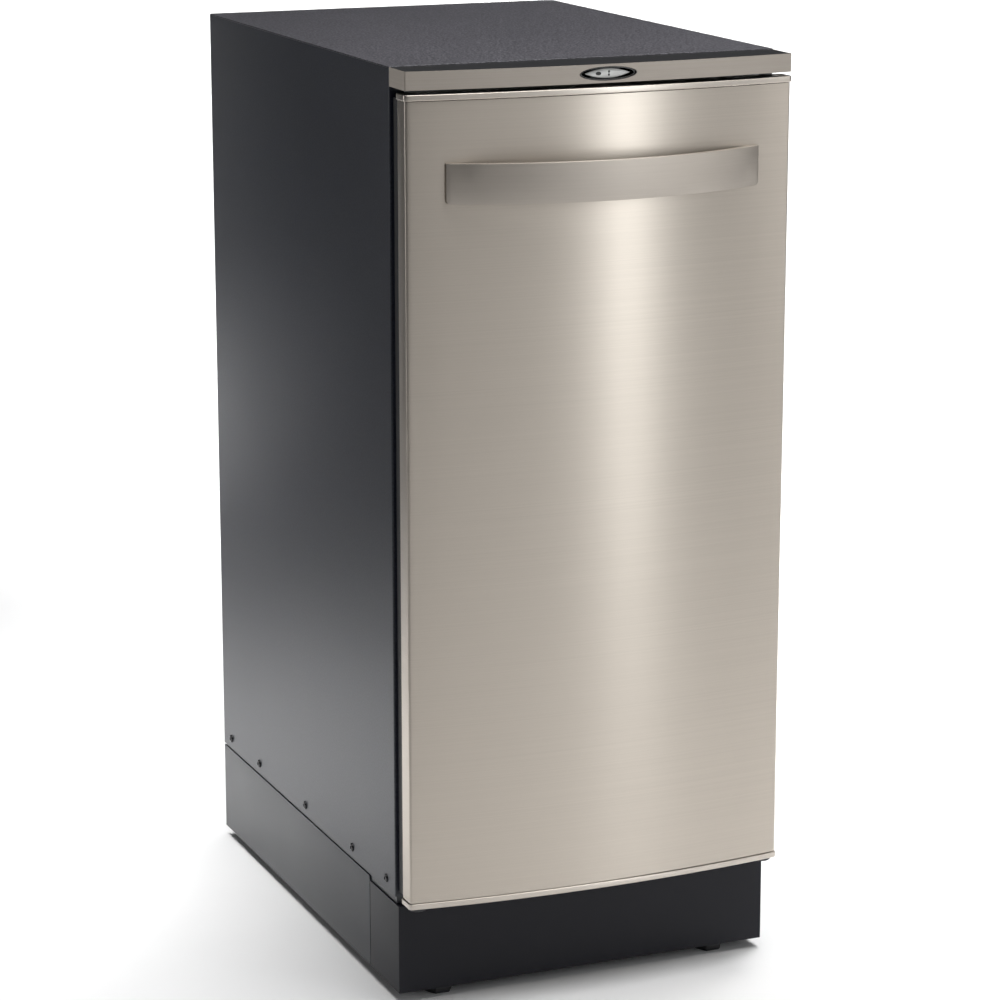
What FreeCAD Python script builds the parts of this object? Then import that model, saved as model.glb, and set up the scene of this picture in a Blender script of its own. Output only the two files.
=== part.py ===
import FreeCAD, Part

import math
import os

from FreeCAD import Vector

# A 15-inch trash compactor: a sheet-metal cabinet on a plinth, a drawer with a bowed stainless front
# and a bin, and a ram on two chain-driven power screws.
#
# Millimetres. X runs to the right as seen from the front, Y to the back, Z up. The pieces are modelled
# with Y = 0 at the front edge of the side panels and Z = 0 on the floor; save() moves them so that the
# origin is at the middle of the whole object's footprint.

# ---------------------------------------------------------------- driving dimensions
# cabinet
CABINET_WIDTH = 378.0
CABINET_DEPTH = 508.0
CABINET_HEIGHT = 876.0
PLINTH_HEIGHT = 103.3          # underside of the side panels
SHEET = 1.2                    # cabinet sheet
PAN_THICKNESS = 3.0            # base pan, which carries the screws' thrust
FRAME_SHEET = 2.0              # base frame
SEAM = 0.3                     # gap between sheets that lie side by side
FRONT_FLANGE = 14.0            # inward flange at the side panels' front edge
BOTTOM_FLANGE = 12.0

# plinth
PLINTH_CLEARANCE = 10.0        # floor to the plinth's lower edge
SKIRT_GAP = 2.0                # skirts to the side panels
TOE_KICK_GAP = 7.0             # toe-kick to the side panels
TOE_KICK_PROUD = 9.0           # toe-kick's face in front of the side panels
TOE_KICK_RETURN = 67.0         # where its side returns end, behind the side panels' front edge
TOE_KICK_SEAM = 1.6

# levelling feet
FOOT_ACROSS_FLATS = 25.0
FOOT_HEAD = 9.2
FOOT_STEM_R = 5.0
FOOT_STEM_TOP = 42.0
FOOT_INSET_SIDE = 47.0
FOOT_INSET_FRONT = 12.0
FOOT_INSET_REAR = 30.0
FOOT_PLATE = (56.0, 44.0)

# console
CONSOLE_FRONT = 37.3           # its side edges in front of the side panels
CONSOLE_UNDER_TOP = 0.8        # its top under the cabinet's
FASCIA_HEIGHT = 16.6
FASCIA_SHEET = 1.0
CONSOLE_BOW = 13.0             # how far its middle stands in front of its side edges
OVAL_WIDTH = 56.0
OVAL_HEIGHT = 12.8
BEZEL_WALL = 2.6
BEZEL_DEPTH = 5.0
ROCKER_WIDTH = 44.0
ROCKER_HEIGHT = 8.4
ROCKER_THICKNESS = 2.4
ROCKER_RECESS = 2.2
ROCKER_SWING = 2.0             # clearance behind the rocker's ends
ROCKER_STEM_R = 1.6

# drawer front
DRAWER_GAP = 3.8               # console to the drawer front
DRAWER_FRONT_DROP = 0.5        # its lower edge under the side panels'
DRAWER_OVERHANG = 0.5          # how far it stands out past the cabinet's sides
DRAWER_FRONT_EDGE = 37.3       # its side edges in front of the side panels
DRAWER_BOW = 13.0
DRAWER_RETURN = 19.0           # depth of the skin's side returns
SKIN = 1.0
SKIN_CORNER_R = 2.5
TRIM_HEIGHT = 5.5
TRIM_PROUD = 1.2
TRIM_WALL = 2.0
TRIM_GROOVE = 0.6
INNER_FRAME_GAP = 2.0          # inner frame to the side panels' front edge
INNER_FRAME_INSET = 2.6        # inner frame inside the skin's side faces
INNER_SHEET = 1.2
GLIDE_R = 9.0
GLIDE_HEIGHT = 3.6
GLIDE_INSET = 11.5

# handle
HANDLE_INSET = 36.5            # its ends inside the drawer front's sides
HANDLE_HEIGHT = 36.0
HANDLE_DROP = 96.8             # its lower edge under the drawer front's top
HANDLE_REACH = 80.0            # its face at the middle, in front of the side panels
HANDLE_STRAP = 4.6
HANDLE_END_LIP = 3.2           # strap's height over the skin at its ends
HANDLE_FOOT = 13.0             # length of the solid foot at each end
HANDLE_CORNER_R = 3.5
HANDLE_SCREW_R = 2.0

# drawer running gear
TRAVEL_MARGIN = 108.0          # cabinet depth that the drawer's travel leaves
ROLLER_R = 12.0
ROLLER_WIDTH = 8.0
ROLLER_PIN_R = 3.0
TRACK_TO_SCREW = 18.0          # inner face of the tracks' webs to the power screws' axes
TRACK_SHEET = 1.5
TRACK_FLANGE = 11.0
RUNNER_TO_TRACK = 14.0         # inner face of the drawer's runners to that of the tracks
RUNNER_TAIL = 14.0             # runner behind its roller's middle
FRONT_ROLLER_Y = 20.0
ROLLER_SPACING_OUT = 32.0      # left between front and rear rollers with the drawer out
ROLL_GAP = 0.25                # roller to the flange that it rolls on
TRACK_TO_PAN = 1.7

# bin
BIN_TO_SCREW = 17.0            # bin's side to the power screws' axes
DRIVE_ROOM = 110.0             # behind the bin, for the motor and the terminal box
BIN_FRONT = 10.0
BIN_SHEET = 1.2
BIN_RIM = 4.0
TRAY_SHEET = 2.0
TRAY_LIP = 26.0
CLIP_WIDTH = 26.0
CLIP_DROP = 22.0
CLIP_SHEET = 1.0

# ram
RAM_TRAVEL = 255.0
RAM_CLEARANCE = 7.0            # press plate over the bin's rim at the top of its stroke
PLATE_MARGIN_X = 7.8           # press plate to the bin's walls
PLATE_MARGIN_Y = 14.0
PLATE_THICKNESS = 3.0
PLATE_FLANGE = 17.0
CROSSHEAD_HEIGHT = 40.0
CROSSHEAD_DEPTH = 70.0
CROSSHEAD_SHEET = 3.0
UPRIGHT_SPAN = 150.0           # between the uprights' webs
UPRIGHT_DEPTH = 200.0
UPRIGHT_FLANGE = 28.0
UPRIGHT_SHEET = 2.5
CROSSHEAD_OVER_RIM = 7.0       # crosshead over the bin's rim at the bottom of its stroke

# power screws
SCREW_TO_WALL = 27.8           # axis to the side panel
SCREW_R = 8.0
SCREW_LEAD = 6.0
THREAD_DEPTH = 1.5
JOURNAL_R = 6.0
RUNNING_FIT = 0.05
NUT_R = 16.0
NUT_FLANGE_R = 21.0
NUT_FLANGE = 5.0
NUT_BODY = 30.0
BEARING_R = 14.0
BEARING_HEIGHT = 12.0
BUSH_R = 11.0
BUSH_HEIGHT = 9.0
BRACE_HEIGHT = 25.0
BRACE_DEPTH = 50.0
BRACE_OVER_CROSSHEAD = 5.0
BRACE_TO_TOP = 29.2            # its underside under the top panel

# chain drive
CHAIN_PITCH = 9.525
CHAIN_ROLLER_R = 2.54
CHAIN_PLATE_HEIGHT = 8.6
CHAIN_PLATE = 1.2
CHAIN_INNER_WIDTH = 5.2
SPROCKET_TEETH = 11
SPROCKET_THICKNESS = 4.2
SPROCKET_HUB_R = 10.0
CHAIN_DROP = 32.3              # chain's middle under the base pan
GEAR_MODULE = 2.0
GEAR_TEETH = 48
PINION_TEETH = 12
GEAR_THICKNESS = 12.0
PINION_THICKNESS = 15.0
GEAR_DROP = 17.3               # gear's underside under the base pan
GEAR_BACKLASH = 0.30
STUB_SHAFT_R = 6.0
STUB_HEAD_R = 9.0
STUB_HEAD = 3.5

# motor
MOTOR_R = 41.0
MOTOR_LENGTH = 142.0
MOTOR_TO_BACK = 4.0
MOTOR_SHAFT_R = 5.0
MOTOR_BRACKET = 4.0
MOTOR_CAP = 12.0

# back and electrics
DUCT_WIDTH = 16.0
DUCT_DEPTH = 12.0
GLAND_R = 11.0
GLAND_PROUD = 10.0
CORD_R = 4.5
GLAND_INSET = 54.0
GLAND_RISE = 58.7              # over the side panels' lower edge
TERMINAL_BOX = (50.0, 26.0, 80.0)

# fasteners
PANEL_SCREW_HEAD_R = 4.2
PANEL_SCREW_HEAD = 2.0
PANEL_SCREW_R = 1.9
PANEL_SCREW_LENGTH = 9.0
SIDE_SCREW_RISE = 11.0
SIDE_SCREWS_FROM_FRONT = (23.0, 115.0, 250.0)
SIDE_SCREWS_FROM_REAR = (116.0, 25.0)
LOUVRE_RISE = 146.7

# ---------------------------------------------------------------- sizes that follow from them
OUT_X = CABINET_WIDTH / 2
IN_X = OUT_X - SHEET
BIN_DEPTH = CABINET_DEPTH - BIN_FRONT - DRIVE_ROOM
MID_Y = BIN_FRONT + BIN_DEPTH / 2                      # the ram and the screws stand over the bin's middle
SCREW_X = IN_X - SCREW_TO_WALL
BIN_WIDTH = 2 * (SCREW_X - BIN_TO_SCREW)
TRACK_WEB_X = SCREW_X - TRACK_TO_SCREW
RUNNER_WEB_X = TRACK_WEB_X - RUNNER_TO_TRACK
FOOT_X = OUT_X - FOOT_INSET_SIDE
GLAND_X = OUT_X - GLAND_INSET
GLAND_Z = PLINTH_HEIGHT + GLAND_RISE
SIDE_SCREW_Y = SIDE_SCREWS_FROM_FRONT + tuple(CABINET_DEPTH - y for y in SIDE_SCREWS_FROM_REAR)
PAN_TOP = PLINTH_HEIGHT
PAN_BOTTOM = PAN_TOP - PAN_THICKNESS
BACK_IN = CABINET_DEPTH - SHEET
TOP_UNDERSIDE = CABINET_HEIGHT - SHEET
SHIFT_Y = (HANDLE_REACH - CABINET_DEPTH - GLAND_PROUD) / 2

CONSOLE_TOP = CABINET_HEIGHT - CONSOLE_UNDER_TOP
DRAWER_FRONT_TOP = CONSOLE_TOP - FASCIA_HEIGHT - DRAWER_GAP
DRAWER_FRONT_BOTTOM = PLINTH_HEIGHT - DRAWER_FRONT_DROP
DRAWER_FRONT_WIDTH = CABINET_WIDTH + 2 * DRAWER_OVERHANG
DRAWER_TRAVEL = CABINET_DEPTH - TRAVEL_MARGIN
GLIDE_X = DRAWER_FRONT_WIDTH / 2 - GLIDE_INSET
HANDLE_LENGTH = DRAWER_FRONT_WIDTH - 2 * HANDLE_INSET
HANDLE_BOTTOM = DRAWER_FRONT_TOP - HANDLE_DROP
SKIN_BOTTOM = DRAWER_FRONT_BOTTOM + TRIM_HEIGHT + TRIM_GROOVE
SKIN_TOP = DRAWER_FRONT_TOP - TRIM_HEIGHT - TRIM_GROOVE
SKIN_HALF = DRAWER_FRONT_WIDTH / 2 - TRIM_PROUD

TRACK_BOTTOM = PAN_TOP + TRACK_TO_PAN
ROLLER_Z = TRACK_BOTTOM + TRACK_SHEET + ROLL_GAP + ROLLER_R
RUNNER_FLANGE_Z = ROLLER_Z + ROLLER_R + ROLL_GAP
TRACK_TOP = RUNNER_FLANGE_Z + 2 * TRACK_SHEET + 2.0
REAR_ROLLER_Y = FRONT_ROLLER_Y + DRAWER_TRAVEL + 2 * ROLLER_R + ROLLER_SPACING_OUT
RUNNER_REAR = REAR_ROLLER_Y + RUNNER_TAIL
ROLLER_X = (RUNNER_WEB_X + TRACK_SHEET + TRACK_WEB_X) / 2
TRAY_Z = TRACK_TOP + 0.6
BIN_Z = TRAY_Z + TRAY_SHEET

BRACE_Z = TOP_UNDERSIDE - BRACE_TO_TOP
CROSSHEAD_Z = BRACE_Z - BRACE_OVER_CROSSHEAD - CROSSHEAD_HEIGHT
RIM_Z = CROSSHEAD_Z - RAM_TRAVEL - CROSSHEAD_OVER_RIM   # the bin takes what the ram's stroke leaves
PLATE_BOTTOM = RIM_Z + RAM_CLEARANCE
PLATE_HALF_X = BIN_WIDTH / 2 - BIN_SHEET - PLATE_MARGIN_X
PLATE_HALF_Y = BIN_DEPTH / 2 - BIN_SHEET - PLATE_MARGIN_Y
SCREW_TOP = BRACE_Z + BUSH_HEIGHT + 4.0
SHOULDER_Z = PAN_TOP + BEARING_HEIGHT + 0.4
THREAD_TOP = CROSSHEAD_Z + CROSSHEAD_HEIGHT
THREAD_BOTTOM = CROSSHEAD_Z - NUT_FLANGE - RAM_TRAVEL - 2 * SCREW_LEAD

CHAIN_PLANE = PAN_BOTTOM - CHAIN_DROP
GEAR_BOTTOM = PAN_BOTTOM - GEAR_DROP
SPROCKET_R = CHAIN_PITCH / 2 / math.sin(math.pi / SPROCKET_TEETH)
SPROCKET_TIP_R = SPROCKET_R + 0.3 * CHAIN_PITCH
SHAFT_BOTTOM = CHAIN_PLANE - SPROCKET_THICKNESS / 2 - 8.0
GEAR_CENTRES = GEAR_MODULE * (GEAR_TEETH + PINION_TEETH) / 2
MOTOR_Y = BACK_IN - MOTOR_TO_BACK - MOTOR_R
GEAR_Y = MOTOR_Y - GEAR_CENTRES
TERMINAL_BOX_Z = TRACK_TOP + 2.0


# ---------------------------------------------------------------- helpers
def box(x0, x1, y0, y1, z0, z1):
    """A block between two corners."""
    return Part.makeBox(x1 - x0, y1 - y0, z1 - z0, Vector(x0, y0, z0))


def cylinder(r, x, y, z0, z1):
    """An upright round bar."""
    return Part.makeCylinder(r, z1 - z0, Vector(x, y, z0))


def bar_x(r, x0, x1, y, z):
    """A round bar along X."""
    return Part.makeCylinder(r, x1 - x0, Vector(x0, y, z), Vector(1, 0, 0))


def bar_y(r, x, y0, y1, z):
    """A round bar along Y."""
    return Part.makeCylinder(r, y1 - y0, Vector(x, y0, z), Vector(0, 1, 0))


def prism(points, z0, z1):
    """An upright prism over a polygon in plan."""
    wire = Part.makePolygon([Vector(x, y, z0) for x, y in points + points[:1]])
    return Part.Face(wire).extrude(Vector(0, 0, z1 - z0))


def fuse(first, *others):
    """One solid from pieces that are welded or moulded together."""
    return first.fuse(list(others)).removeSplitter()


def mirrored(shape):
    """The same piece on the other side of the X = 0 plane."""
    return shape.mirror(Vector(0, 0, 0), Vector(1, 0, 0))


def pair(shape):
    """A piece and its mirror image, as two solids."""
    return Part.makeCompound([shape, mirrored(shape)])


def save(name, shape):
    """Write one node in the object's own frame."""
    placed = shape.copy()
    placed.translate(Vector(0, SHIFT_Y, 0))
    placed.exportStep(f"parts/{name}.step")
    print(f"{name}: {len(placed.Solids)} solid(s), {placed.Volume / 1000:.1f} cm3")


def bow_radius(half_width, bow):
    """Radius of the arc that stands bow in front of a chord of twice half_width."""
    return (half_width ** 2 + bow ** 2) / (2 * bow)


def bow_y(x, half_width, edge, bow):
    """Y of a bowed front at x: -edge at the sides, -(edge + bow) in the middle."""
    r = bow_radius(half_width, bow)
    return -(edge + bow) + r - math.sqrt(r * r - x * x)


def bowed_plan(half_width, edge, bow, back, z):
    """A face in plan: straight back at Y = -back, straight sides and a bowed front."""
    left, right = Vector(-half_width, -edge, z), Vector(half_width, -edge, z)
    front = Part.Arc(left, Vector(0, -edge - bow, z), right).toShape()
    back_right, back_left = Vector(half_width, -back, z), Vector(-half_width, -back, z)
    sides = Part.makePolygon([right, back_right, back_left, left]).Edges
    return Part.Face(Part.Wire([front] + sides))


def bowed_block(half_width, edge, bow, back, z0, z1, corner_r=0.0):
    """An upright block with a bowed front and, if asked, rounded front corners."""
    block = bowed_plan(half_width, edge, bow, back, z0).extrude(Vector(0, 0, z1 - z0))
    if corner_r:
        block = block.makeFillet(corner_r, front_corner_edges(block, half_width, edge))
    return block


def front_corner_edges(block, half_width, edge):
    """The two upright edges where a bowed front meets its sides."""
    found = []
    for e in block.Edges:
        ends = [v.Point for v in e.Vertexes]
        upright = len(ends) == 2 and abs(ends[0].z - ends[1].z) > 1.0
        if upright and all(abs(abs(p.x) - half_width) < 0.01 and abs(p.y + edge) < 0.01 for p in ends):
            found.append(e)
    return found


def ellipse_bar(width, height, z, y0, y1):
    """A bar of elliptical section along Y, centred at x = 0."""
    curve = Part.Ellipse(Vector(0, y0, z), width / 2, height / 2)
    curve.Axis = Vector(0, 1, 0)
    curve.XAxis = Vector(1, 0, 0)
    return Part.Face(Part.Wire(curve.toShape())).extrude(Vector(0, y1 - y0, 0))


def eye_bar(width, height, z, y0, y1):
    """A bar along Y whose section is two arcs meeting in a point at each side."""
    left, right = Vector(-width / 2, y0, z), Vector(width / 2, y0, z)
    upper = Part.Arc(left, Vector(0, y0, z + height / 2), right).toShape()
    lower = Part.Arc(right, Vector(0, y0, z - height / 2), left).toShape()
    return Part.Face(Part.Wire([upper, lower])).extrude(Vector(0, y1 - y0, 0))


# ---------------------------------------------------------------- cabinet shell
def side_screw_holes(x0, x1):
    """The clearance holes for one side panel's screws, as bars to cut."""
    z = PLINTH_HEIGHT + SIDE_SCREW_RISE
    return [bar_x(PANEL_SCREW_R + 0.2, x0, x1, y, z) for y in SIDE_SCREW_Y]


def side_panel_right():
    """The right side: a sheet with a front flange, a rear flange and a bottom flange."""
    top = TOP_UNDERSIDE - SEAM
    sheet = box(IN_X, OUT_X, 0, CABINET_DEPTH, PLINTH_HEIGHT, top)
    front = box(OUT_X - FRONT_FLANGE, IN_X + 0.1, 0, SHEET, PLINTH_HEIGHT, top)
    rear_y = BACK_IN - SEAM
    rear = box(OUT_X - FRONT_FLANGE, IN_X + 0.1, rear_y - SHEET, rear_y, PLINTH_HEIGHT, top)
    bottom = box(OUT_X - BOTTOM_FLANGE, IN_X + 0.1, 0, rear_y, PLINTH_HEIGHT, PLINTH_HEIGHT + SHEET)
    panel = fuse(sheet, front, rear, bottom)
    right_screws = [(x, z) for x, z in back_screw_places() if x > 0]
    rear_holes = [bar_y(PANEL_SCREW_R, x, rear_y - 5, rear_y + 1, z) for x, z in right_screws]
    return panel.cut(side_screw_holes(IN_X - 1, OUT_X + 1) + rear_holes)


def top_panel():
    """The top sheet, with flanges turned down inside the side panels and a rolled front edge."""
    sheet = box(-OUT_X, OUT_X, 0, CABINET_DEPTH, TOP_UNDERSIDE, CABINET_HEIGHT)
    flange_x = IN_X - SEAM
    flange = box(flange_x - SHEET, flange_x, 6, BACK_IN - 6, TOP_UNDERSIDE - 9, TOP_UNDERSIDE + 0.1)
    roll_r = (SHEET + SEAM) / 2
    roll = bar_x(roll_r, -OUT_X, OUT_X, roll_r, CABINET_HEIGHT - roll_r)
    return fuse(sheet, flange, mirrored(flange), roll)


def louvre_rows():
    """The vent slots in the back panel, as blocks to cut."""
    slots = []
    slot_height, slot_pitch, slot_half = 5.0, 14.0, 85.0
    for row in range(8):
        z = PLINTH_HEIGHT + LOUVRE_RISE + row * slot_pitch
        slots.append(box(-slot_half, -6, BACK_IN - 1, CABINET_DEPTH + 1, z, z + slot_height))
        slots.append(box(6, slot_half, BACK_IN - 1, CABINET_DEPTH + 1, z, z + slot_height))
    return slots


def back_screw_places():
    """X and Z of the back panel's screws."""
    x = OUT_X - FRONT_FLANGE + 6
    heights = [PLINTH_HEIGHT + f * (TOP_UNDERSIDE - PLINTH_HEIGHT) for f in (0.05, 0.35, 0.65, 0.95)]
    return [(side * x, z) for side in (-1, 1) for z in heights]


def back_panel():
    """The back sheet between the side panels, with vent slots and the gland's hole."""
    sheet = box(-IN_X + SEAM, IN_X - SEAM, BACK_IN, CABINET_DEPTH, PLINTH_HEIGHT, TOP_UNDERSIDE - SEAM)
    hole_r = PANEL_SCREW_R + 0.2
    holes = [bar_y(hole_r, x, BACK_IN - 1, CABINET_DEPTH + 1, z) for x, z in back_screw_places()]
    gland_hole = bar_y(GLAND_R - 3.0, GLAND_X, BACK_IN - 1, CABINET_DEPTH + 1, GLAND_Z)
    return sheet.cut(holes + louvre_rows() + [gland_hole])


def panel_screw(direction, x, y, z):
    """A pan-head screw whose head stands on (x, y, z) and points along direction."""
    head = Part.makeCylinder(PANEL_SCREW_HEAD_R, PANEL_SCREW_HEAD, Vector(x, y, z), direction)
    rim = [e for e in head.Edges if e.Length > 6 and (e.CenterOfMass - Vector(x, y, z)).Length > 1]
    head = head.makeFillet(PANEL_SCREW_HEAD * 0.6, rim)
    recess = Part.makeCylinder(1.6, 1.2, Vector(x, y, z) + direction * (PANEL_SCREW_HEAD - 1.1), direction)
    shank = Part.makeCylinder(PANEL_SCREW_R, PANEL_SCREW_LENGTH, Vector(x, y, z), direction * -1)
    return fuse(head, shank).cut(recess)


def side_panel_screws():
    """Five screws along the lower edge of each side panel."""
    z = PLINTH_HEIGHT + SIDE_SCREW_RISE
    right = [panel_screw(Vector(1, 0, 0), OUT_X, y, z) for y in SIDE_SCREW_Y]
    left = [panel_screw(Vector(-1, 0, 0), -OUT_X, y, z) for y in SIDE_SCREW_Y]
    return Part.makeCompound(right + left)


def back_panel_screws():
    """Four screws up each edge of the back panel."""
    outward = Vector(0, 1, 0)
    return Part.makeCompound([panel_screw(outward, x, CABINET_DEPTH, z) for x, z in back_screw_places()])


def front_header():
    """The channel across the top of the drawer opening, which the console hangs on."""
    x = OUT_X - FRONT_FLANGE - SEAM
    top, height, depth = TOP_UNDERSIDE - SEAM, 30.0, 34.0
    front = box(-x, x, 0, SHEET, top - height, top)
    bottom = box(-x, x, 0, depth, top - height, top - height + SHEET)
    rear = box(-x, x, depth - SHEET, depth, top - height, top - height + 14)
    return fuse(front, bottom, rear)


# ---------------------------------------------------------------- base and plinth
def foot_places():
    """X and Y of the four levelling feet."""
    front, rear = FOOT_INSET_FRONT, CABINET_DEPTH - FOOT_INSET_REAR
    return {"front_left": (-FOOT_X, front), "front_right": (FOOT_X, front),
            "rear_left": (-FOOT_X, rear), "rear_right": (FOOT_X, rear)}


def base_pan():
    """The thick floor plate, with holes for the screws, the stub shaft, the motor and the cables."""
    plate = box(-IN_X + SEAM, IN_X - SEAM, 0, BACK_IN - SEAM, PAN_BOTTOM, PAN_TOP)
    z0, z1 = PAN_BOTTOM - 1, PAN_TOP + 1
    holes = [cylinder(JOURNAL_R + 1, side * SCREW_X, MID_Y, z0, z1) for side in (-1, 1)]
    holes.append(cylinder(STUB_SHAFT_R + RUNNING_FIT, 0, GEAR_Y, z0, z1))
    holes.append(cylinder(MOTOR_SHAFT_R + 3, 0, MOTOR_Y, z0, z1))
    return plate.cut(holes)


def base_frame():
    """Side rails, cross-members and a threaded plate at each foot, welded under the pan."""
    z0, z1 = PLINTH_CLEARANCE, PAN_BOTTOM
    rail_x = IN_X - SEAM
    rear = BACK_IN - SEAM
    rail = box(rail_x - FRAME_SHEET, rail_x, 0, rear, z0, z1)
    inner_x = rail_x - FRAME_SHEET
    front_member = box(-inner_x, inner_x, 0, FRAME_SHEET, z0, z1)
    rear_member = box(-inner_x, inner_x, rear - FRAME_SHEET, rear, z0, z1)
    solids = [rail, mirrored(rail), front_member, rear_member]
    width, depth = FOOT_PLATE
    for x, y in foot_places().values():
        y0 = max(y - depth / 2, FRAME_SHEET)
        y1 = min(y + depth / 2, rear - FRAME_SHEET)
        x_out = inner_x if x > 0 else -inner_x
        x_in = x - math.copysign(width / 2, x)
        plate = box(min(x_in, x_out), max(x_in, x_out), y0, y1, z0 + SEAM, z0 + SEAM + 3)
        boss = cylinder(FOOT_STEM_R + 3.5, x, y, z0 + SEAM + 2.9, z0 + SEAM + 11)
        hole = cylinder(FOOT_STEM_R + RUNNING_FIT, x, y, z0 - 1, z0 + 20)
        solids.append(fuse(plate, boss).cut(hole))
    return Part.makeCompound(solids)


def side_skirt_right():
    """The plain sheet that closes the plinth on the right, behind the toe-kick's return."""
    y0 = TOE_KICK_RETURN + TOE_KICK_SEAM
    return box(IN_X, OUT_X, y0, CABINET_DEPTH, PLINTH_CLEARANCE, PLINTH_HEIGHT - SKIRT_GAP)


def toe_kick():
    """The front of the plinth, folded back round both corners."""
    z0, z1 = PLINTH_CLEARANCE, PLINTH_HEIGHT - TOE_KICK_GAP
    outer = box(-OUT_X, OUT_X, -TOE_KICK_PROUD, TOE_KICK_RETURN, z0, z1)
    inner = box(-IN_X, IN_X, -TOE_KICK_PROUD + SHEET, TOE_KICK_RETURN + 1, z0 - 1, z1 + 1)
    fold = box(-IN_X + SEAM, IN_X - SEAM, -TOE_KICK_PROUD + 0.5, -SEAM, z1 - SHEET, z1)
    corners = []
    sheet = outer.cut(inner)
    for e in sheet.Edges:
        middle = e.CenterOfMass
        if abs(abs(middle.x) - OUT_X) < 0.01 and abs(middle.y + TOE_KICK_PROUD) < 0.01:
            corners.append(e)
    return fuse(sheet.makeFillet(SHEET * 0.8, corners), fold)


def levelling_foot(x, y):
    """A hex-headed levelling bolt, screwed all the way up."""
    across_corners = FOOT_ACROSS_FLATS / math.cos(math.pi / 6)
    corners = []
    for i in range(6):
        angle = math.radians(60 * i)
        corners.append((x + across_corners / 2 * math.cos(angle), y + across_corners / 2 * math.sin(angle)))
    head = prism(corners, 0, FOOT_HEAD)
    chamfer = Part.makeCone(FOOT_ACROSS_FLATS / 2 - 1, across_corners / 2 + 3, 6, Vector(x, y, 0))
    chamfer = fuse(chamfer, cylinder(across_corners / 2 + 3, x, y, 6, FOOT_HEAD))
    stem = cylinder(FOOT_STEM_R, x, y, FOOT_HEAD - 0.1, FOOT_STEM_TOP)
    return fuse(head.common(chamfer), stem)


# ---------------------------------------------------------------- console
def console_block(inset, z0, z1, back=0.0):
    """The console's bowed plan, drawn in by inset on its front and sides."""
    half = OUT_X - inset
    return bowed_block(half, CONSOLE_FRONT - inset, CONSOLE_BOW, back, z0, z1)


def oval_z():
    """Height of the oval's middle."""
    return CONSOLE_TOP - FASCIA_HEIGHT / 2


def console_face():
    """Y of the fascia's front at its middle."""
    return -(CONSOLE_FRONT + CONSOLE_BOW)


def fascia():
    """The stainless strip round the console's front and sides, with the oval opening."""
    z0, z1 = CONSOLE_TOP - FASCIA_HEIGHT, CONSOLE_TOP
    outer = bowed_block(OUT_X, CONSOLE_FRONT, CONSOLE_BOW, SEAM, z0, z1, 1.5)
    inner = console_block(FASCIA_SHEET, z0 - 1, z1 + 1, -5)
    opening = ellipse_bar(OVAL_WIDTH, OVAL_HEIGHT, oval_z(), console_face() - 1, console_face() + 6)
    return outer.cut(inner).cut(opening)


def console_housing():
    """The dark moulding inside the fascia, whose top shows as a strip along the cabinet's edge."""
    z0, z1 = CONSOLE_TOP - FASCIA_HEIGHT, CONSOLE_TOP
    gap = FASCIA_SHEET + 0.1
    body = console_block(gap, z0 + 0.2, z1, SEAM)
    wall = 2.0
    hollow = console_block(gap + wall, z0 + 0.2 + wall, z1 - wall, SEAM + wall)
    face = console_face()
    opening = ellipse_bar(OVAL_WIDTH + 0.2, OVAL_HEIGHT + 0.2, oval_z(), face - 1, face + 12)
    return body.cut(hollow).cut(opening)


def switch_bezel():
    """The dark stepped ring that lines the oval."""
    face = console_face()
    ring = ellipse_bar(OVAL_WIDTH - 0.2, OVAL_HEIGHT - 0.2, oval_z(), face + 0.1, face + BEZEL_DEPTH)
    first = ellipse_bar(OVAL_WIDTH - BEZEL_WALL, OVAL_HEIGHT - BEZEL_WALL / 2, oval_z(), face, face + 1.6)
    through = ellipse_bar(OVAL_WIDTH - 2 * BEZEL_WALL, OVAL_HEIGHT - BEZEL_WALL, oval_z(), face, face + 20)
    return ring.cut([first, through])


def rocker_back():
    """Y of the rocker's rear face."""
    return console_face() + ROCKER_RECESS + ROCKER_THICKNESS


def pivot_y():
    """Y of the upright axis that the rocker turns on."""
    return rocker_back() + ROCKER_STEM_R - 0.4


def start_rocker():
    """The eye-shaped start rocker, with the stub that it turns on."""
    front = console_face() + ROCKER_RECESS
    plate = eye_bar(ROCKER_WIDTH, ROCKER_HEIGHT, oval_z(), front, rocker_back())
    half_stem = ROCKER_HEIGHT / 2 - 0.6
    stem = cylinder(ROCKER_STEM_R, 0, pivot_y(), oval_z() - half_stem, oval_z() + half_stem)
    return fuse(plate, stem)


def switch_body():
    """The switch behind the rocker, with a cup that the rocker's stub turns in."""
    y0 = rocker_back() + ROCKER_SWING
    z = oval_z()
    body = box(-14, 14, y0, y0 + 14, z - 5.2, z + 5.2)
    cheeks = [box(-3, 3, y0 - 2.4, y0 + 0.1, z + s * 5.2 - 0.7, z + s * 5.2 + 0.7) for s in (-0.865, 0.865)]
    cup = cylinder(ROCKER_STEM_R + 0.4, 0, pivot_y(), z - ROCKER_HEIGHT / 2, z + ROCKER_HEIGHT / 2)
    pins = [box(x - 0.4, x + 0.4, y0 + 13.9, y0 + 20, z - 3, z + 3) for x in (-9, 0, 9)]
    return fuse(body.cut(cup), *pins)


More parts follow.
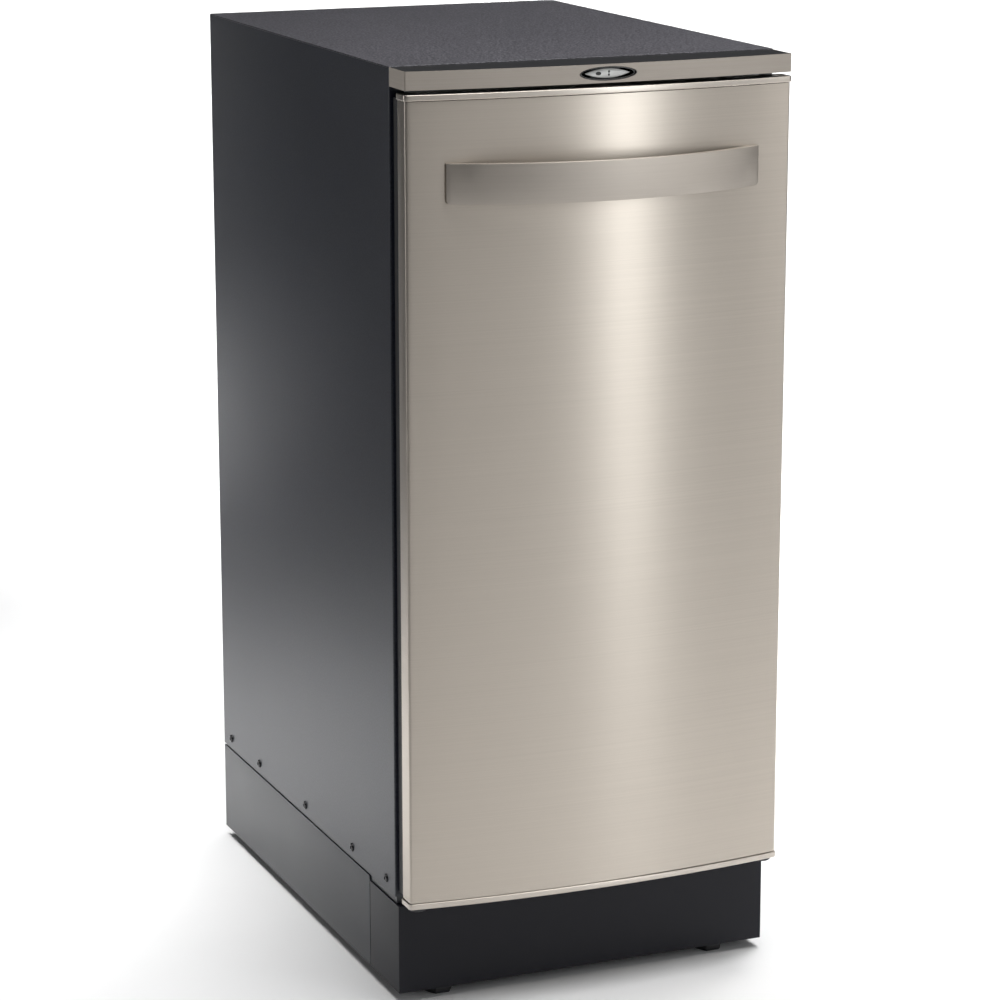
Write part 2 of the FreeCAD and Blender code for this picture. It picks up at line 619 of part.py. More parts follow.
# ---------------------------------------------------------------- drawer front
def drawer_front_skin():
    """The bowed stainless skin with its side returns."""
    edge, back = DRAWER_FRONT_EDGE, DRAWER_FRONT_EDGE - DRAWER_RETURN
    outer = bowed_block(SKIN_HALF, edge, DRAWER_BOW, back, SKIN_BOTTOM, SKIN_TOP, SKIN_CORNER_R)
    inner = bowed_block(SKIN_HALF - SKIN, edge - SKIN, DRAWER_BOW, back - 5, SKIN_BOTTOM - 1, SKIN_TOP + 1,
                        SKIN_CORNER_R - SKIN)
    skin = outer.cut(inner)
    holes = [bar_y(HANDLE_SCREW_R + 0.2, x, -60, -20, handle_middle()) for x in handle_screw_x()]
    return skin.cut(holes)


def drawer_trim(z0, z1, pocket_z0, pocket_z1):
    """A cap over the skin's end, a little proud of it, hollowed from the inside."""
    edge, back = DRAWER_FRONT_EDGE + TRIM_PROUD, DRAWER_FRONT_EDGE - DRAWER_RETURN
    half = DRAWER_FRONT_WIDTH / 2
    cap = bowed_block(half, edge, DRAWER_BOW, back, z0, z1, SKIN_CORNER_R + TRIM_PROUD)
    pocket = bowed_block(half - TRIM_WALL, edge - TRIM_WALL, DRAWER_BOW, back + TRIM_WALL,
                         pocket_z0, pocket_z1)
    rims = [e for e in cap.Edges if is_outer_rim(e, z0, z1)]
    return cap.makeFillet(1.0, rims).cut(pocket)


def is_outer_rim(e, z0, z1):
    """Is this edge on the lip's exposed rim, at its front or sides?"""
    b = e.BoundBox
    level = abs(b.ZMax - b.ZMin) < 0.01 and (abs(b.ZMin - z0) < 0.01 or abs(b.ZMin - z1) < 0.01)
    at_back = b.YMin > -(DRAWER_FRONT_EDGE - DRAWER_RETURN) - 0.1
    return level and not at_back


def drawer_top_trim():
    """The lip along the top of the drawer front."""
    z0, z1 = DRAWER_FRONT_TOP - TRIM_HEIGHT, DRAWER_FRONT_TOP
    return drawer_trim(z0, z1, z0 - 1, z1 - TRIM_WALL)


def drawer_bottom_trim():
    """The lip along the bottom of the drawer front."""
    z0, z1 = DRAWER_FRONT_BOTTOM, DRAWER_FRONT_BOTTOM + TRIM_HEIGHT
    return drawer_trim(z0, z1, z0 + TRIM_WALL, z1 + 1)


def drawer_inner_frame():
    """The black pan behind the skin, open to the front."""
    half = SKIN_HALF - INNER_FRAME_INSET
    z0, z1 = DRAWER_FRONT_BOTTOM + TRIM_HEIGHT + 0.2, DRAWER_FRONT_TOP - TRIM_HEIGHT - 0.2
    front, back = -(DRAWER_FRONT_EDGE - SKIN - 4), -INNER_FRAME_GAP
    outer = box(-half, half, front, back, z0, z1)
    inner = box(-half + INNER_SHEET, half - INNER_SHEET, front - 1, back - INNER_SHEET,
                z0 + INNER_SHEET, z1 - INNER_SHEET)
    rib = box(-half + INNER_SHEET, half - INNER_SHEET, front + 6, back - INNER_SHEET, 0, INNER_SHEET)
    ribs = []
    for share in (0.33, 0.66):
        moved = rib.copy()
        moved.translate(Vector(0, 0, z0 + share * (z1 - z0)))
        ribs.append(moved)
    return fuse(outer.cut(inner), *ribs)


def corner_glides():
    """Two half-round black glides under the drawer front's lower corners."""
    y = -(DRAWER_FRONT_EDGE - DRAWER_RETURN / 2)
    z1 = DRAWER_FRONT_BOTTOM
    disc = cylinder(GLIDE_R, GLIDE_X, y, z1 - GLIDE_HEIGHT, z1)
    rim = [e for e in disc.Edges if e.BoundBox.ZMax < z1 - 1 and e.Length > 20]
    return pair(disc.makeFillet(1.5, rim))


# ---------------------------------------------------------------- handle
def handle_middle():
    """Height of the handle's middle."""
    return HANDLE_BOTTOM + HANDLE_HEIGHT / 2


def handle_screw_x():
    """X of the two screws that hold the handle."""
    x = HANDLE_LENGTH / 2 - HANDLE_FOOT / 2
    return (-x, x)


def skin_y(x):
    """Y of the skin's outer face at x."""
    return bow_y(x, SKIN_HALF, DRAWER_FRONT_EDGE, DRAWER_BOW)


def handle():
    """The bowed strap, solid at its ends where it meets the skin."""
    half, inner_half = HANDLE_LENGTH / 2, HANDLE_LENGTH / 2 - HANDLE_FOOT
    z = HANDLE_BOTTOM
    end_y, foot_y = skin_y(half), skin_y(inner_half)
    crown, inside = -HANDLE_REACH, -HANDLE_REACH + HANDLE_STRAP
    left, right = Vector(-half, end_y - HANDLE_END_LIP, z), Vector(half, end_y - HANDLE_END_LIP, z)
    outer = Part.Arc(left, Vector(0, crown, z), right).toShape()
    right_foot = Part.makePolygon([right, Vector(half, end_y, z), Vector(inner_half, foot_y, z)])
    inner_right, inner_left = Vector(inner_half, foot_y, z), Vector(-inner_half, foot_y, z)
    inner = Part.Arc(inner_right, Vector(0, inside, z), inner_left).toShape()
    left_foot = Part.makePolygon([Vector(-inner_half, foot_y, z), Vector(-half, end_y, z), left])
    plan = Part.Wire([outer] + right_foot.Edges + [inner] + left_foot.Edges)
    strap = Part.Face(plan).extrude(Vector(0, 0, HANDLE_HEIGHT))
    lower_corners = []
    for e in strap.Edges:
        b = e.BoundBox
        runs_y = b.XLength < 0.01 and b.ZLength < 0.01
        if runs_y and abs(b.ZMin - z) < 0.01 and abs(abs(b.XMin) - half) < 0.01:
            lower_corners.append(e)
    strap = strap.makeFillet(HANDLE_CORNER_R, lower_corners)
    strap = strap.cut(drawer_front_solid())
    holes = [bar_y(HANDLE_SCREW_R, x, skin_y(x) - 3, -20, handle_middle()) for x in handle_screw_x()]
    return strap.cut(holes)


def drawer_front_solid():
    """The space inside the skin's outer faces, which the handle's feet are cut to."""
    edge = DRAWER_FRONT_EDGE
    return bowed_block(SKIN_HALF, edge, DRAWER_BOW, edge - DRAWER_RETURN, SKIN_BOTTOM, SKIN_TOP)


def handle_screws():
    """Two pan-head screws through the skin into the handle's feet."""
    screws = []
    for x in handle_screw_x():
        inside = skin_y(x) + SKIN + 0.6
        shank = bar_y(HANDLE_SCREW_R - 0.05, x, inside - 3.6, inside + 0.1, handle_middle())
        head = bar_y(4.0, x, inside, inside + 2.6, handle_middle())
        screws.append(fuse(shank, head))
    return Part.makeCompound(screws)


# ---------------------------------------------------------------- drawer running gear
def track_right():
    """The right track: a channel open to the inside, standing on the pan."""
    x1 = TRACK_WEB_X + TRACK_SHEET
    x0 = TRACK_WEB_X - TRACK_FLANGE
    y0, y1 = 3.0, RUNNER_REAR + 8
    web = box(TRACK_WEB_X, x1, y0, y1, PAN_TOP, TRACK_TOP)
    bottom = box(x0, x1, y0, y1, TRACK_BOTTOM, TRACK_BOTTOM + TRACK_SHEET)
    top = box(x0 + 4, x1, y0, y1, TRACK_TOP - TRACK_SHEET, TRACK_TOP)
    hole = bar_x(ROLLER_PIN_R, TRACK_WEB_X - 1, x1 + 1, FRONT_ROLLER_Y, ROLLER_Z)
    return fuse(web, bottom, top).cut(hole)


def runner_right():
    """The right runner: a web under the tray with a flange that rides on the front roller."""
    x0, x1 = RUNNER_WEB_X, RUNNER_WEB_X + TRACK_SHEET
    flange_x = TRACK_WEB_X - 1.5
    y0 = -INNER_FRAME_GAP
    z0 = ROLLER_Z - 9
    web = box(x0, x1, y0, RUNNER_REAR, z0, TRAY_Z)
    flange = box(x0, flange_x, y0, RUNNER_REAR, RUNNER_FLANGE_Z, RUNNER_FLANGE_Z + TRACK_SHEET)
    seat_y1 = BIN_FRONT + BIN_DEPTH + 4
    seat = box(x0 - 16, x0 + 0.1, y0, seat_y1, TRAY_Z - TRACK_SHEET, TRAY_Z)
    front_tab = box(x0 - 16, x1, y0, y0 + TRACK_SHEET, z0, TRAY_Z + 40)
    hole = bar_x(ROLLER_PIN_R, x0 - 1, x1 + 1, REAR_ROLLER_Y, ROLLER_Z)
    return fuse(web, flange, seat, front_tab).cut(hole)


def roller(side, y):
    """A nylon roller with a bore for its pin and shallow recesses in its faces."""
    x0 = side * ROLLER_X - ROLLER_WIDTH / 2
    wheel = bar_x(ROLLER_R, x0, x0 + ROLLER_WIDTH, y, ROLLER_Z)
    wheel = wheel.makeChamfer(0.8, [e for e in wheel.Edges if abs(e.Length - 2 * math.pi * ROLLER_R) < 1])
    bore = bar_x(ROLLER_PIN_R + RUNNING_FIT, x0 - 1, x0 + ROLLER_WIDTH + 1, y, ROLLER_Z)
    dishes = []
    for start in (x0 - 1, x0 + ROLLER_WIDTH - 1):
        ring = bar_x(ROLLER_R - 3, start, start + 2, y, ROLLER_Z)
        dishes.append(ring.cut(bar_x(ROLLER_PIN_R + 2, start - 1, start + 3, y, ROLLER_Z)))
    return wheel.cut([bore] + dishes)


def roller_pin(x_plate, x_end, y):
    """A headed pin from a sheet at x_plate to just past its roller at x_end."""
    x0, x1 = min(x_plate, x_end), max(x_plate, x_end)
    shank = bar_x(ROLLER_PIN_R, x0, x1, y, ROLLER_Z)
    away = -1.4 if x_plate < x_end else 1.4
    head = bar_x(ROLLER_PIN_R + 2, min(x_plate, x_plate + away), max(x_plate, x_plate + away), y, ROLLER_Z)
    clip_x = x_end if x_plate < x_end else x_end - 0.6
    clip = bar_x(ROLLER_PIN_R + 1, clip_x, clip_x + 0.6, y, ROLLER_Z)
    return fuse(shank, head, clip)


def front_roller_pins():
    """The two pins that hold the front rollers in the tracks."""
    return pair(roller_pin(TRACK_WEB_X + TRACK_SHEET, ROLLER_X - ROLLER_WIDTH / 2 - 0.3, FRONT_ROLLER_Y))


def rear_roller_pins():
    """The two pins that hold the rear rollers on the runners."""
    return pair(roller_pin(RUNNER_WEB_X, ROLLER_X + ROLLER_WIDTH / 2 + 0.3, REAR_ROLLER_Y))


def carrier_tray():
    """The tray between the runners, with an upstanding lip round the bin and a rear tie."""
    gap = 1.0
    half = BIN_WIDTH / 2 + gap + BIN_SHEET
    y0, y1 = -INNER_FRAME_GAP + 4, BIN_FRONT + BIN_DEPTH + gap + BIN_SHEET
    outer = box(-half, half, y0, y1, TRAY_Z, TRAY_Z + TRAY_LIP)
    inner = box(-half + BIN_SHEET, half - BIN_SHEET, BIN_FRONT - gap, y1 - BIN_SHEET,
                TRAY_Z + TRAY_SHEET, TRAY_Z + TRAY_LIP + 1)
    front_relief = box(-half - 1, half + 1, y0 - 1, BIN_FRONT - gap - BIN_SHEET, TRAY_Z + TRAY_SHEET,
                       TRAY_Z + TRAY_LIP + 1)
    return outer.cut([inner, front_relief])


def trash_bin():
    """The lift-out steel bin, open at the top, with a rim turned outwards."""
    half = BIN_WIDTH / 2
    y0, y1 = BIN_FRONT, BIN_FRONT + BIN_DEPTH
    corner = 18.0
    outer = rounded_block(-half, half, y0, y1, BIN_Z, RIM_Z, corner)
    rim = rounded_block(-half - BIN_RIM, half + BIN_RIM, y0 - BIN_RIM, y1 + BIN_RIM, RIM_Z - BIN_RIM, RIM_Z,
                        corner + BIN_RIM)
    wall = BIN_SHEET
    inner = rounded_block(-half + wall, half - wall, y0 + wall, y1 - wall, BIN_Z + wall, RIM_Z + 1,
                          corner - wall)
    return fuse(outer, rim).cut(inner)


def rounded_block(x0, x1, y0, y1, z0, z1, r):
    """A block with its four upright edges rounded."""
    block = box(x0, x1, y0, y1, z0, z1)
    upright = [e for e in block.Edges if e.BoundBox.ZLength > 0.9 * (z1 - z0)]
    return block.makeFillet(r, upright)


def bag_clips():
    """Four spring clips over the bin's rim, two on each side."""
    x_wall = BIN_WIDTH / 2
    clips = []
    for y in (BIN_FRONT + BIN_DEPTH * 0.28, BIN_FRONT + BIN_DEPTH * 0.72):
        y0, y1 = y - CLIP_WIDTH / 2, y + CLIP_WIDTH / 2
        inside_x = x_wall - BIN_SHEET - CLIP_SHEET - 0.1
        inside = box(inside_x, inside_x + CLIP_SHEET, y0, y1, RIM_Z - CLIP_DROP, RIM_Z + 0.1 + CLIP_SHEET)
        outside_x = x_wall + BIN_RIM + 0.1
        bridge = box(inside_x, outside_x + CLIP_SHEET, y0, y1, RIM_Z + 0.1, RIM_Z + 0.1 + CLIP_SHEET)
        outside = box(outside_x, outside_x + CLIP_SHEET, y0, y1, RIM_Z - 8, RIM_Z + 0.1 + CLIP_SHEET)
        clips.append(fuse(inside, bridge, outside))
    return Part.makeCompound(clips + [mirrored(c) for c in clips])


def drawer_bumpers():
    """Two rubber stops on the tracks behind the runners."""
    y0 = RUNNER_REAR + 0.4
    block = box(RUNNER_WEB_X - 6, TRACK_WEB_X - TRACK_FLANGE - 0.2, y0, y0 + 8, PAN_TOP, TRACK_TOP - 6)
    return pair(block)


# ---------------------------------------------------------------- ram
def ram_crosshead():
    """The inverted channel between the screws, with a seat for each power nut."""
    half = IN_X - 4
    y0, y1 = MID_Y - CROSSHEAD_DEPTH / 2, MID_Y + CROSSHEAD_DEPTH / 2
    t = CROSSHEAD_SHEET
    z1 = CROSSHEAD_Z + CROSSHEAD_HEIGHT
    outer = box(-half, half, y0, y1, CROSSHEAD_Z, z1)
    inner = box(-half - 1, half + 1, y0 + t, y1 - t, CROSSHEAD_Z + t, z1 - t)
    channel = outer.cut(inner)
    holes = []
    for x in (-SCREW_X, SCREW_X):
        holes.append(cylinder(NUT_R + 0.1, x, MID_Y, CROSSHEAD_Z - 1, CROSSHEAD_Z + t + 1))
        holes.append(cylinder(SCREW_R + 2, x, MID_Y, z1 - t - 1, z1 + 1))
    return channel.cut(holes)


def ram_uprights():
    """Two channels that carry the press plate under the crosshead."""
    web_x = UPRIGHT_SPAN / 2
    y0, y1 = MID_Y - UPRIGHT_DEPTH / 2, MID_Y + UPRIGHT_DEPTH / 2
    z0, z1 = PLATE_BOTTOM + PLATE_THICKNESS, CROSSHEAD_Z
    outer = box(web_x - UPRIGHT_FLANGE, web_x, y0, y1, z0, z1)
    inner = box(web_x - UPRIGHT_FLANGE - 1, web_x - UPRIGHT_SHEET, y0 + UPRIGHT_SHEET, y1 - UPRIGHT_SHEET,
                z0 - 1, z1 + 1)
    return pair(outer.cut(inner))


def press_plate():
    """The ribbed plate that presses the waste."""
    y0, y1 = MID_Y - PLATE_HALF_Y, MID_Y + PLATE_HALF_Y
    z0, z1 = PLATE_BOTTOM, PLATE_BOTTOM + PLATE_THICKNESS + PLATE_FLANGE
    outer = rounded_block(-PLATE_HALF_X, PLATE_HALF_X, y0, y1, z0, z1, 14)
    inner = rounded_block(-PLATE_HALF_X + 2, PLATE_HALF_X - 2, y0 + 2, y1 - 2, z0 + PLATE_THICKNESS,
                          z1 + 1, 12)
    rib_x = UPRIGHT_SPAN / 2 + 8
    ribs = [box(s * rib_x - 1.25, s * rib_x + 1.25, y0 + 1, y1 - 1, z0 + 1, z1 - 4) for s in (-1, 1)]
    return fuse(outer.cut(inner), *ribs)


def power_nut(side):
    """A flanged bronze nut, seated in the crosshead from below."""
    x = side * SCREW_X
    body = cylinder(NUT_R, x, MID_Y, CROSSHEAD_Z - NUT_FLANGE, CROSSHEAD_Z - NUT_FLANGE + NUT_BODY)
    flange = cylinder(NUT_FLANGE_R, x, MID_Y, CROSSHEAD_Z - NUT_FLANGE, CROSSHEAD_Z)
    bore = cylinder(SCREW_R + RUNNING_FIT, x, MID_Y, CROSSHEAD_Z - NUT_BODY, CROSSHEAD_Z + 2 * NUT_BODY)
    return fuse(body, flange).cut(bore)


def power_nuts():
    """The two nuts that the screws drive."""
    return Part.makeCompound([power_nut(-1), power_nut(1)])


# ---------------------------------------------------------------- screws and chain drive
def sprocket_blank(x, y):
    """A toothed disc for the chain, with a round gap for each roller."""
    z0 = CHAIN_PLANE - SPROCKET_THICKNESS / 2
    disc = cylinder(SPROCKET_TIP_R, x, y, z0, z0 + SPROCKET_THICKNESS)
    gaps = []
    for i in range(SPROCKET_TEETH):
        angle = 2 * math.pi * (i + 0.5) / SPROCKET_TEETH
        out = Vector(math.cos(angle), math.sin(angle), 0)
        seat = Vector(x, y, z0 - 1) + out * SPROCKET_R
        gaps.append(Part.makeCylinder(CHAIN_ROLLER_R + 0.2, SPROCKET_THICKNESS + 2, seat))
        mouth = Part.makeBox(SPROCKET_R, 2 * CHAIN_ROLLER_R + 0.9, SPROCKET_THICKNESS + 2)
        mouth.translate(Vector(0, -CHAIN_ROLLER_R - 0.45, 0))
        mouth.rotate(Vector(0, 0, 0), Vector(0, 0, 1), math.degrees(angle))
        mouth.translate(seat)
        gaps.append(mouth)
    return disc.cut(gaps)


def screw_profile(x, y):
    """Half the outline of a power screw: journals, a shoulder and one ring groove per lead."""
    points = [(0, SHAFT_BOTTOM), (JOURNAL_R, SHAFT_BOTTOM), (JOURNAL_R, SHOULDER_Z), (SCREW_R, SHOULDER_Z)]
    z = THREAD_BOTTOM
    root = SCREW_R - THREAD_DEPTH
    while z + SCREW_LEAD < THREAD_TOP:
        points += [(SCREW_R, z), (root, z + 0.2 * SCREW_LEAD), (root, z + 0.5 * SCREW_LEAD),
                   (SCREW_R, z + 0.7 * SCREW_LEAD)]
        z += SCREW_LEAD
    points += [(SCREW_R, BRACE_Z - 0.5), (JOURNAL_R, BRACE_Z - 0.5), (JOURNAL_R, SCREW_TOP), (0, SCREW_TOP)]
    return [Vector(x + r, y, height) for r, height in points]


def power_screw(side):
    """A power screw with its sprocket at the bottom."""
    x = side * SCREW_X
    outline = screw_profile(x, MID_Y)
    face = Part.Face(Part.makePolygon(outline + outline[:1]))
    shaft = face.revolve(Vector(x, MID_Y, 0), Vector(0, 0, 1), 360)
    z0 = CHAIN_PLANE - SPROCKET_THICKNESS / 2
    hub = cylinder(SPROCKET_HUB_R, x, MID_Y, z0, z0 + SPROCKET_THICKNESS + 10)
    return fuse(shaft, sprocket_blank(x, MID_Y), hub)


def screw_bearings():
    """A thrust bearing on the pan and a bush in the upper brace for each screw."""
    solids = []
    for side in (-1, 1):
        x = side * SCREW_X
        lower = cylinder(BEARING_R, x, MID_Y, PAN_TOP, PAN_TOP + BEARING_HEIGHT)
        solids.append(lower.cut(cylinder(JOURNAL_R + RUNNING_FIT, x, MID_Y, PAN_TOP - 1, PAN_TOP + 40)))
        body = cylinder(BUSH_R, x, MID_Y, BRACE_Z, BRACE_Z + BUSH_HEIGHT)
        flange = cylinder(BUSH_R + 4, x, MID_Y, BRACE_Z + SHEET * 2, BRACE_Z + SHEET * 2 + 2.5)
        bore = cylinder(JOURNAL_R + RUNNING_FIT, x, MID_Y, BRACE_Z - 1, BRACE_Z + 40)
        solids.append(fuse(body, flange).cut(bore))
    return Part.makeCompound(solids)


def upper_brace():
    """The channel between the side panels that holds the screws' upper bushes."""
    half = IN_X - SEAM
    t = SHEET * 2
    y0, y1 = MID_Y - BRACE_DEPTH / 2, MID_Y + BRACE_DEPTH / 2
    web = box(-half, half, y0, y1, BRACE_Z, BRACE_Z + t)
    height = min(BRACE_HEIGHT, TOP_UNDERSIDE - 10 - BRACE_Z)
    front = box(-half, half, y0, y0 + t, BRACE_Z, BRACE_Z + height)
    rear = box(-half, half, y1 - t, y1, BRACE_Z, BRACE_Z + height)
    holes = [cylinder(BUSH_R, s * SCREW_X, MID_Y, BRACE_Z - 1, BRACE_Z + t + 1) for s in (-1, 1)]
    return fuse(web, front, rear).cut(holes)


def gear_outline(teeth, x, y, turn):
    """Plan of a spur gear with straight-sided involute-like teeth and backlash."""
    pitch_r = GEAR_MODULE * teeth / 2
    tip_r, root_r = pitch_r + 0.85 * GEAR_MODULE, pitch_r - 1.15 * GEAR_MODULE
    pressure = math.radians(20)
    base_r = pitch_r * math.cos(pressure)
    half_at_pitch = math.pi / 2 / teeth - GEAR_BACKLASH / 2 / pitch_r

    def involute(r):
        """Polar angle of the involute at radius r."""
        if r <= base_r:
            return 0.0
        roll = math.acos(base_r / r)
        return math.tan(roll) - roll

    points = []
    low_r, high_r = pitch_r - 0.5 * GEAR_MODULE, pitch_r + 0.45 * GEAR_MODULE
    radii = sorted({root_r, max(base_r, root_r), low_r, pitch_r, high_r, tip_r})
    for i in range(teeth):
        middle = turn + 2 * math.pi * i / teeth
        halves = [half_at_pitch + involute(pitch_r) - involute(r) for r in radii]
        flank = [(r, middle - h) for r, h in zip(radii, halves)]
        flank += [(r, middle + h) for r, h in zip(reversed(radii), reversed(halves))]
        points += [(x + r * math.cos(a), y + r * math.sin(a)) for r, a in flank]
    return points


def drive_gear():
    """The large gear and the chain sprocket on one hub, turning on the stub shaft."""
    gear_top = GEAR_BOTTOM + GEAR_THICKNESS
    gear = prism(gear_outline(GEAR_TEETH, 0, GEAR_Y, math.pi / 2), GEAR_BOTTOM, gear_top)
    lightening = []
    for i in range(6):
        angle = 2 * math.pi * i / 6
        spoke_r = GEAR_MODULE * GEAR_TEETH / 2 * 0.62
        x, y = spoke_r * math.cos(angle), GEAR_Y + spoke_r * math.sin(angle)
        lightening.append(cylinder(9, x, y, GEAR_BOTTOM - 1, gear_top + 1))
    gear = gear.cut(lightening)
    sprocket = sprocket_blank(0, GEAR_Y)
    hub = cylinder(SPROCKET_HUB_R, 0, GEAR_Y, SHAFT_BOTTOM + STUB_HEAD + 0.4, gear_top + 2)
    bore = cylinder(STUB_SHAFT_R + RUNNING_FIT, 0, GEAR_Y, 0, PAN_TOP)
    return fuse(gear, sprocket, hub).cut(bore)


def gear_stub_shaft():
    """The fixed shaft under the pan that the large gear turns on."""
    shaft = cylinder(STUB_SHAFT_R, 0, GEAR_Y, SHAFT_BOTTOM, PAN_TOP + 0.1)
    lower = cylinder(STUB_HEAD_R, 0, GEAR_Y, SHAFT_BOTTOM, SHAFT_BOTTOM + STUB_HEAD)
    upper = cylinder(STUB_HEAD_R, 0, GEAR_Y, PAN_TOP, PAN_TOP + STUB_HEAD)
    return fuse(shaft, lower, upper)


def motor_pinion():
    """The motor's shaft with the pinion cut on its lower end."""
    turn = -math.pi / 2 + math.pi / PINION_TEETH
    z0 = GEAR_BOTTOM - 1.5
    pinion = prism(gear_outline(PINION_TEETH, 0, MOTOR_Y, turn), z0, z0 + PINION_THICKNESS)
    shaft = cylinder(MOTOR_SHAFT_R, 0, MOTOR_Y, z0, PAN_TOP + MOTOR_BRACKET + MOTOR_LENGTH - 30)
    return fuse(pinion, shaft)


def motor_housing():
    """The motor: a round can with end caps, standing on its bracket."""
    z0 = PAN_TOP + MOTOR_BRACKET
    z1 = z0 + MOTOR_LENGTH
    can = cylinder(MOTOR_R - 2, 0, MOTOR_Y, z0 + 2, z1 - 2)
    lower = cylinder(MOTOR_R, 0, MOTOR_Y, z0, z0 + MOTOR_CAP)
    upper = cylinder(MOTOR_R, 0, MOTOR_Y, z1 - MOTOR_CAP, z1)
    upper = upper.makeFillet(4, [e for e in upper.Edges if e.BoundBox.ZMin > z1 - 1])
    tunnel = cylinder(MOTOR_SHAFT_R + RUNNING_FIT, 0, MOTOR_Y, z0 - 1, z1 - 28)
    vents = []
    for i in range(12):
        angle = 2 * math.pi * i / 12
        x, y = (MOTOR_R - 1) * math.cos(angle), MOTOR_Y + (MOTOR_R - 1) * math.sin(angle)
        vents.append(cylinder(3, x, y, z0 + 3, z0 + MOTOR_CAP - 3))
    return fuse(can, lower, upper).cut([tunnel] + vents)


def motor_bracket():
    """The plate between the motor and the pan."""
    half = MOTOR_R + 8
    y1 = BACK_IN - SEAM - 1
    plate = box(-half, half, MOTOR_Y - MOTOR_R + 2, y1, PAN_TOP, PAN_TOP + MOTOR_BRACKET)
    holes = [cylinder(MOTOR_SHAFT_R + 3, 0, MOTOR_Y, PAN_TOP - 1, PAN_TOP + 9)]
    for x in (-half + 6, half - 6):
        for y in (MOTOR_Y - 28, MOTOR_Y + 28):
            holes.append(cylinder(2.6, x, y, PAN_TOP - 1, PAN_TOP + 9))
    return plate.cut(holes)


def chain_loop():
    """Centres of the three sprockets, in order round the chain."""
    return [Vector(-SCREW_X, MID_Y, 0), Vector(SCREW_X, MID_Y, 0), Vector(0, GEAR_Y, 0)]


def loop_face(radius, z):
    """The face inside a belt line of this radius round the three sprockets."""
    centres = chain_loop()
    hull = None
    for i, a in enumerate(centres):
        b = centres[(i + 1) % 3]
        along = (b - a).normalize()
        out = Vector(along.y, -along.x, 0) * radius
        lift = Vector(0, 0, z)
        corners = [a + lift, a + out + lift, b + out + lift, b + lift]
        side = Part.Face(Part.makePolygon(corners + corners[:1]))
        disc = Part.Face(Part.Wire(Part.makeCircle(radius, a + lift)))
        hull = side.fuse(disc) if hull is None else hull.fuse([side, disc])
    middle = Part.Face(Part.makePolygon([c + Vector(0, 0, z) for c in centres + centres[:1]]))
    return hull.fuse(middle).removeSplitter()


def chain_straights():
    """Each straight run's start, direction and length along the chain's pitch line."""
    centres = chain_loop()
    runs = []
    for i, a in enumerate(centres):
        b = centres[(i + 1) % 3]
        along = (b - a).normalize()
        out = Vector(along.y, -along.x, 0) * SPROCKET_R
        runs.append((a + out, along, (b - a).Length))
    return runs


def drive_chain():
    """The roller chain: two loops of link plates, with rollers between them on the straight runs."""
    z_low = CHAIN_PLANE - CHAIN_INNER_WIDTH / 2 - CHAIN_PLATE
    outer_r, inner_r = SPROCKET_R + CHAIN_PLATE_HEIGHT / 2, SPROCKET_R - CHAIN_PLATE_HEIGHT / 2
    solids = []
    for z in (z_low, CHAIN_PLANE + CHAIN_INNER_WIDTH / 2):
        outer = loop_face(outer_r, z).extrude(Vector(0, 0, CHAIN_PLATE))
        inner = loop_face(inner_r, z - 1).extrude(Vector(0, 0, CHAIN_PLATE + 2))
        solids.append(outer.cut(inner))
    rollers = []
    clear = SPROCKET_TIP_R + CHAIN_ROLLER_R
    for start, along, length in chain_straights():
        count = int((length - 2 * clear) / CHAIN_PITCH)
        first = (length - count * CHAIN_PITCH) / 2
        for i in range(count + 1):
            at = start + along * (first + i * CHAIN_PITCH) + Vector(0, 0, z_low + 0.1)
            rollers.append(Part.makeCylinder(CHAIN_ROLLER_R, CHAIN_INNER_WIDTH + 2 * CHAIN_PLATE - 0.2, at))
    return solids[0].fuse([solids[1]] + rollers)


# ---------------------------------------------------------------- electrics
def cord_gland():
    """The gland in the back panel that a power cord passes through."""
    y1 = CABINET_DEPTH + GLAND_PROUD
    outside = bar_y(GLAND_R, GLAND_X, CABINET_DEPTH, y1, GLAND_Z)
    outside = outside.makeFillet(2.5, [e for e in outside.Edges if e.BoundBox.YMin > y1 - 1])
    neck = bar_y(GLAND_R - 3.1, GLAND_X, BACK_IN - 6, CABINET_DEPTH + 0.1, GLAND_Z)
    nut = bar_y(GLAND_R, GLAND_X, BACK_IN - 6, BACK_IN - SEAM, GLAND_Z)
    return fuse(outside, neck, nut).cut(bar_y(CORD_R, GLAND_X, BACK_IN - 20, y1 + 1, GLAND_Z))


def terminal_box():
    """The junction box inside the back, round the gland's inner end."""
    width, depth, height = TERMINAL_BOX
    x0, y1, z0 = GLAND_X - width / 2, BACK_IN - SEAM, TERMINAL_BOX_Z
    wall = 1.5
    case = box(x0, x0 + width, y1 - depth, y1, z0, z0 + height)
    inner = box(x0 + wall, x0 + width - wall, y1 - depth + wall, y1 + 1, z0 + wall, z0 + height - wall)
    return case.cut(inner)


def cable_duct():
    """The raceway from the terminal box up the back and forward under the top."""
    x0, x1 = GLAND_X - DUCT_WIDTH / 2, GLAND_X + DUCT_WIDTH / 2
    rear = BACK_IN - SEAM
    z_top = TOP_UNDERSIDE - 10
    upright = box(x0, x1, rear - DUCT_DEPTH, rear, TERMINAL_BOX_Z + TERMINAL_BOX[2], z_top)
    run = box(x0, x1, 36, rear, z_top - 12, z_top)
    brace_room = box(x0 - 1, x1 + 1, MID_Y - BRACE_DEPTH / 2 - 0.5, MID_Y + BRACE_DEPTH / 2 + 0.5,
                     z_top - 14, BRACE_Z + BRACE_HEIGHT + 0.5)
    return fuse(upright, run).cut(brace_room)


